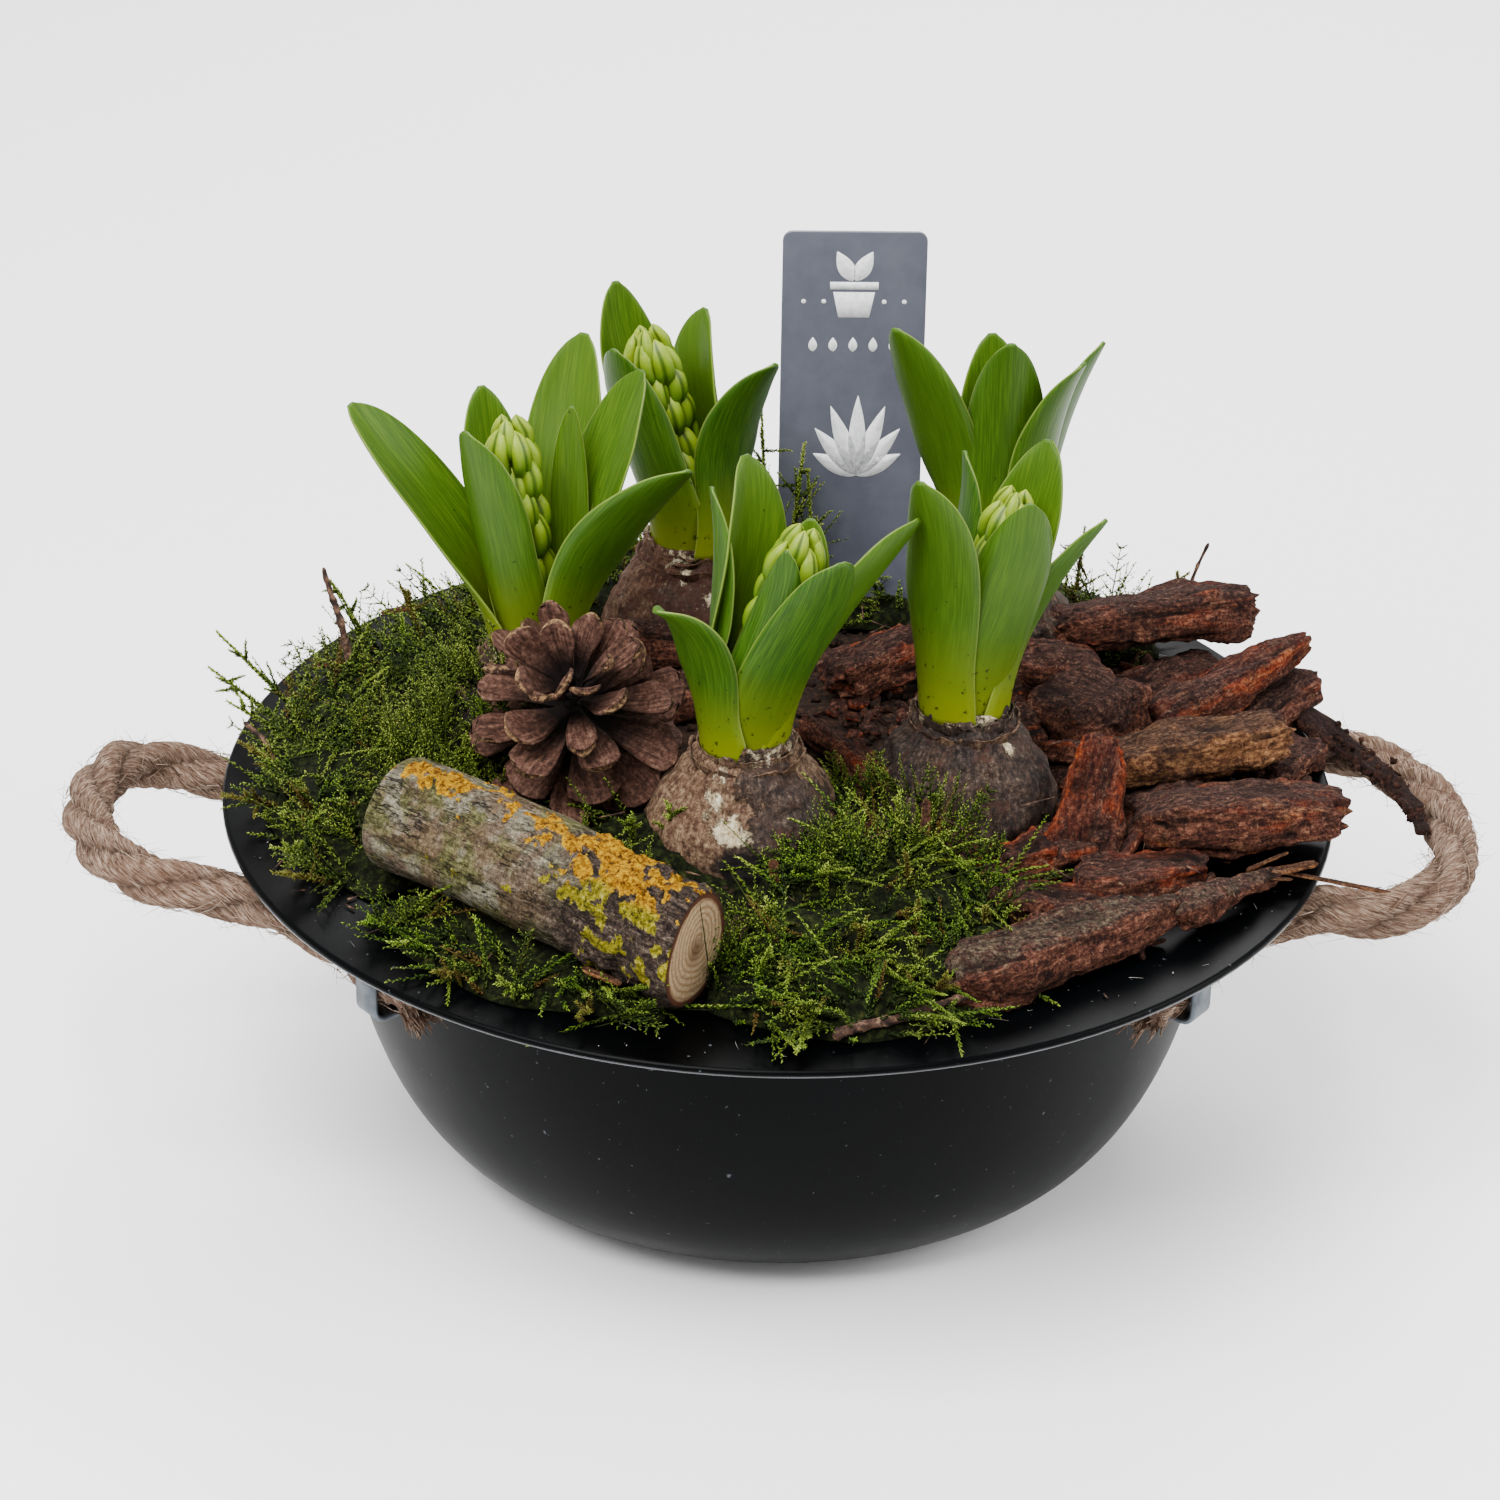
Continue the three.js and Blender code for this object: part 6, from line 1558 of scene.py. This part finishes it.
def makeBits(material):
    # twigs and dry stalks, needles over the whole fill, grit and lint on the rim
    for k, (start, end, radius) in enumerate(twigs[1:], 1):
        piece(f"twig_stem_{k + 1}", twigShape(start, end, radius, k), material, "twig_bark", f"twig_{k + 1}")
    dry = [twigShape(*stalk, 20 + k, 40, 8) for k, stalk in enumerate(stalks)]
    piece("dry_stalks", joined(dry), material, "twig_bark")
    rng = np.random.default_rng(91)
    level = np.array([1, 1, 0.1])
    n = litter["needles"]
    spot = ringOf(rng, n, (0, 360), (70, 150))
    spot[:, 2] = ground(spot) + rng.uniform(0.6, 16, n)
    # those over the rim lie flat on it
    over = np.linalg.norm(spot[:, :2], axis=1) > 138
    spot[over, 2] = bowl["height"] + 0.7
    going = direction(rng.uniform(0, 360, n)) + up * np.where(over, 0, rng.normal(0, 0.3, n))[:, None]
    needles = hairs(spot, unit(going), rng.uniform(4, 14, n) * np.where(over, 0.5, 1),
                    rng.normal(0, 0.6, (n, 3)) * level, rng.uniform(0.25, 0.5, n))
    n = litter["flakes"]
    spot = ringOf(rng, n, (0, 360), (134, 157)) + up * (bowl["height"] + 0.45)
    flakes = crumbs(spot, rng.uniform(0.1, 0.32, n), rng)
    n = litter["lint"]
    spot = ringOf(rng, n, (0, 360), (136, 155)) + up * (bowl["height"] + 0.5)
    lint = hairs(spot, direction(rng.uniform(0, 360, n)), rng.uniform(1.5, 5, n),
                 rng.normal(0, 0.8, (n, 3)) * level, rng.uniform(0.06, 0.1, n), rows=5)
    piece("stray_bits", needles, material, "twig_bark")
    # grey-white grit and lint caught on the dark coat
    dust = plainMaterial("gritAndLint", (60, 2), ((0.4, "#4d453c"), (0.6, "#8f8b86")), Roughness=0.9)
    piece("rim_dust", joined([flakes, lint]), dust, "twig_bark")


# thin dry twig: cracked brown bark, paler where rubbed
makeBits(plainMaterial("dryTwig", (380, 5, 0.65), (
    (0.36, "#140a07"), (0.48, "#332018"), (0.58, "#5a4233"), (0.7, "#8a6e54")), 0.8, 1.0, Roughness=0.85,
    Specular_IOR_Level=0.25))
print("label and bits made")

# ---- floor and light: pale sweep, large soft sources

studio = {"floor": "#fbfbfb", "world": 0.85, "key": 78, "side": 24, "back": 34}


def makeStudio(s):
    mesh = bpy.data.meshes.new("floor")
    mesh.from_pydata([(-3, -3, 0), (3, -3, 0), (3, 3, 0), (-3, 3, 0)], [], [(0, 1, 2, 3)])
    floor = bpy.data.objects.new("floor", mesh)
    bpy.context.scene.collection.objects.link(floor)
    mesh.materials.append(begun("paleFloor", Roughness=0.9, Base_Color=colour(s["floor"]))[0])
    world = bpy.data.worlds.new("studio")
    world.use_nodes = True
    world.node_tree.nodes["Background"].inputs[0].default_value = colour("#ffffff")
    world.node_tree.nodes["Background"].inputs[1].default_value = s["world"]
    bpy.context.scene.world = world
    for name, power, size, place, turn in (
            ("key", s["key"], 1.2, (-0.5, -0.7, 1.5), (28, -18, 0)),
            ("side", s["side"], 0.9, (1.5, -0.2, 0.9), (0, 62, 0)),
            ("back", s["back"], 1.0, (0.2, 1.3, 1.3), (-48, 6, 0))):
        light = bpy.data.lights.new(name, "AREA")
        light.energy, light.size = power, size
        lamp = bpy.data.objects.new(name, light)
        lamp.location = place
        lamp.rotation_euler = [math.radians(v) for v in turn]
        bpy.context.scene.collection.objects.link(lamp)


makeStudio(studio)
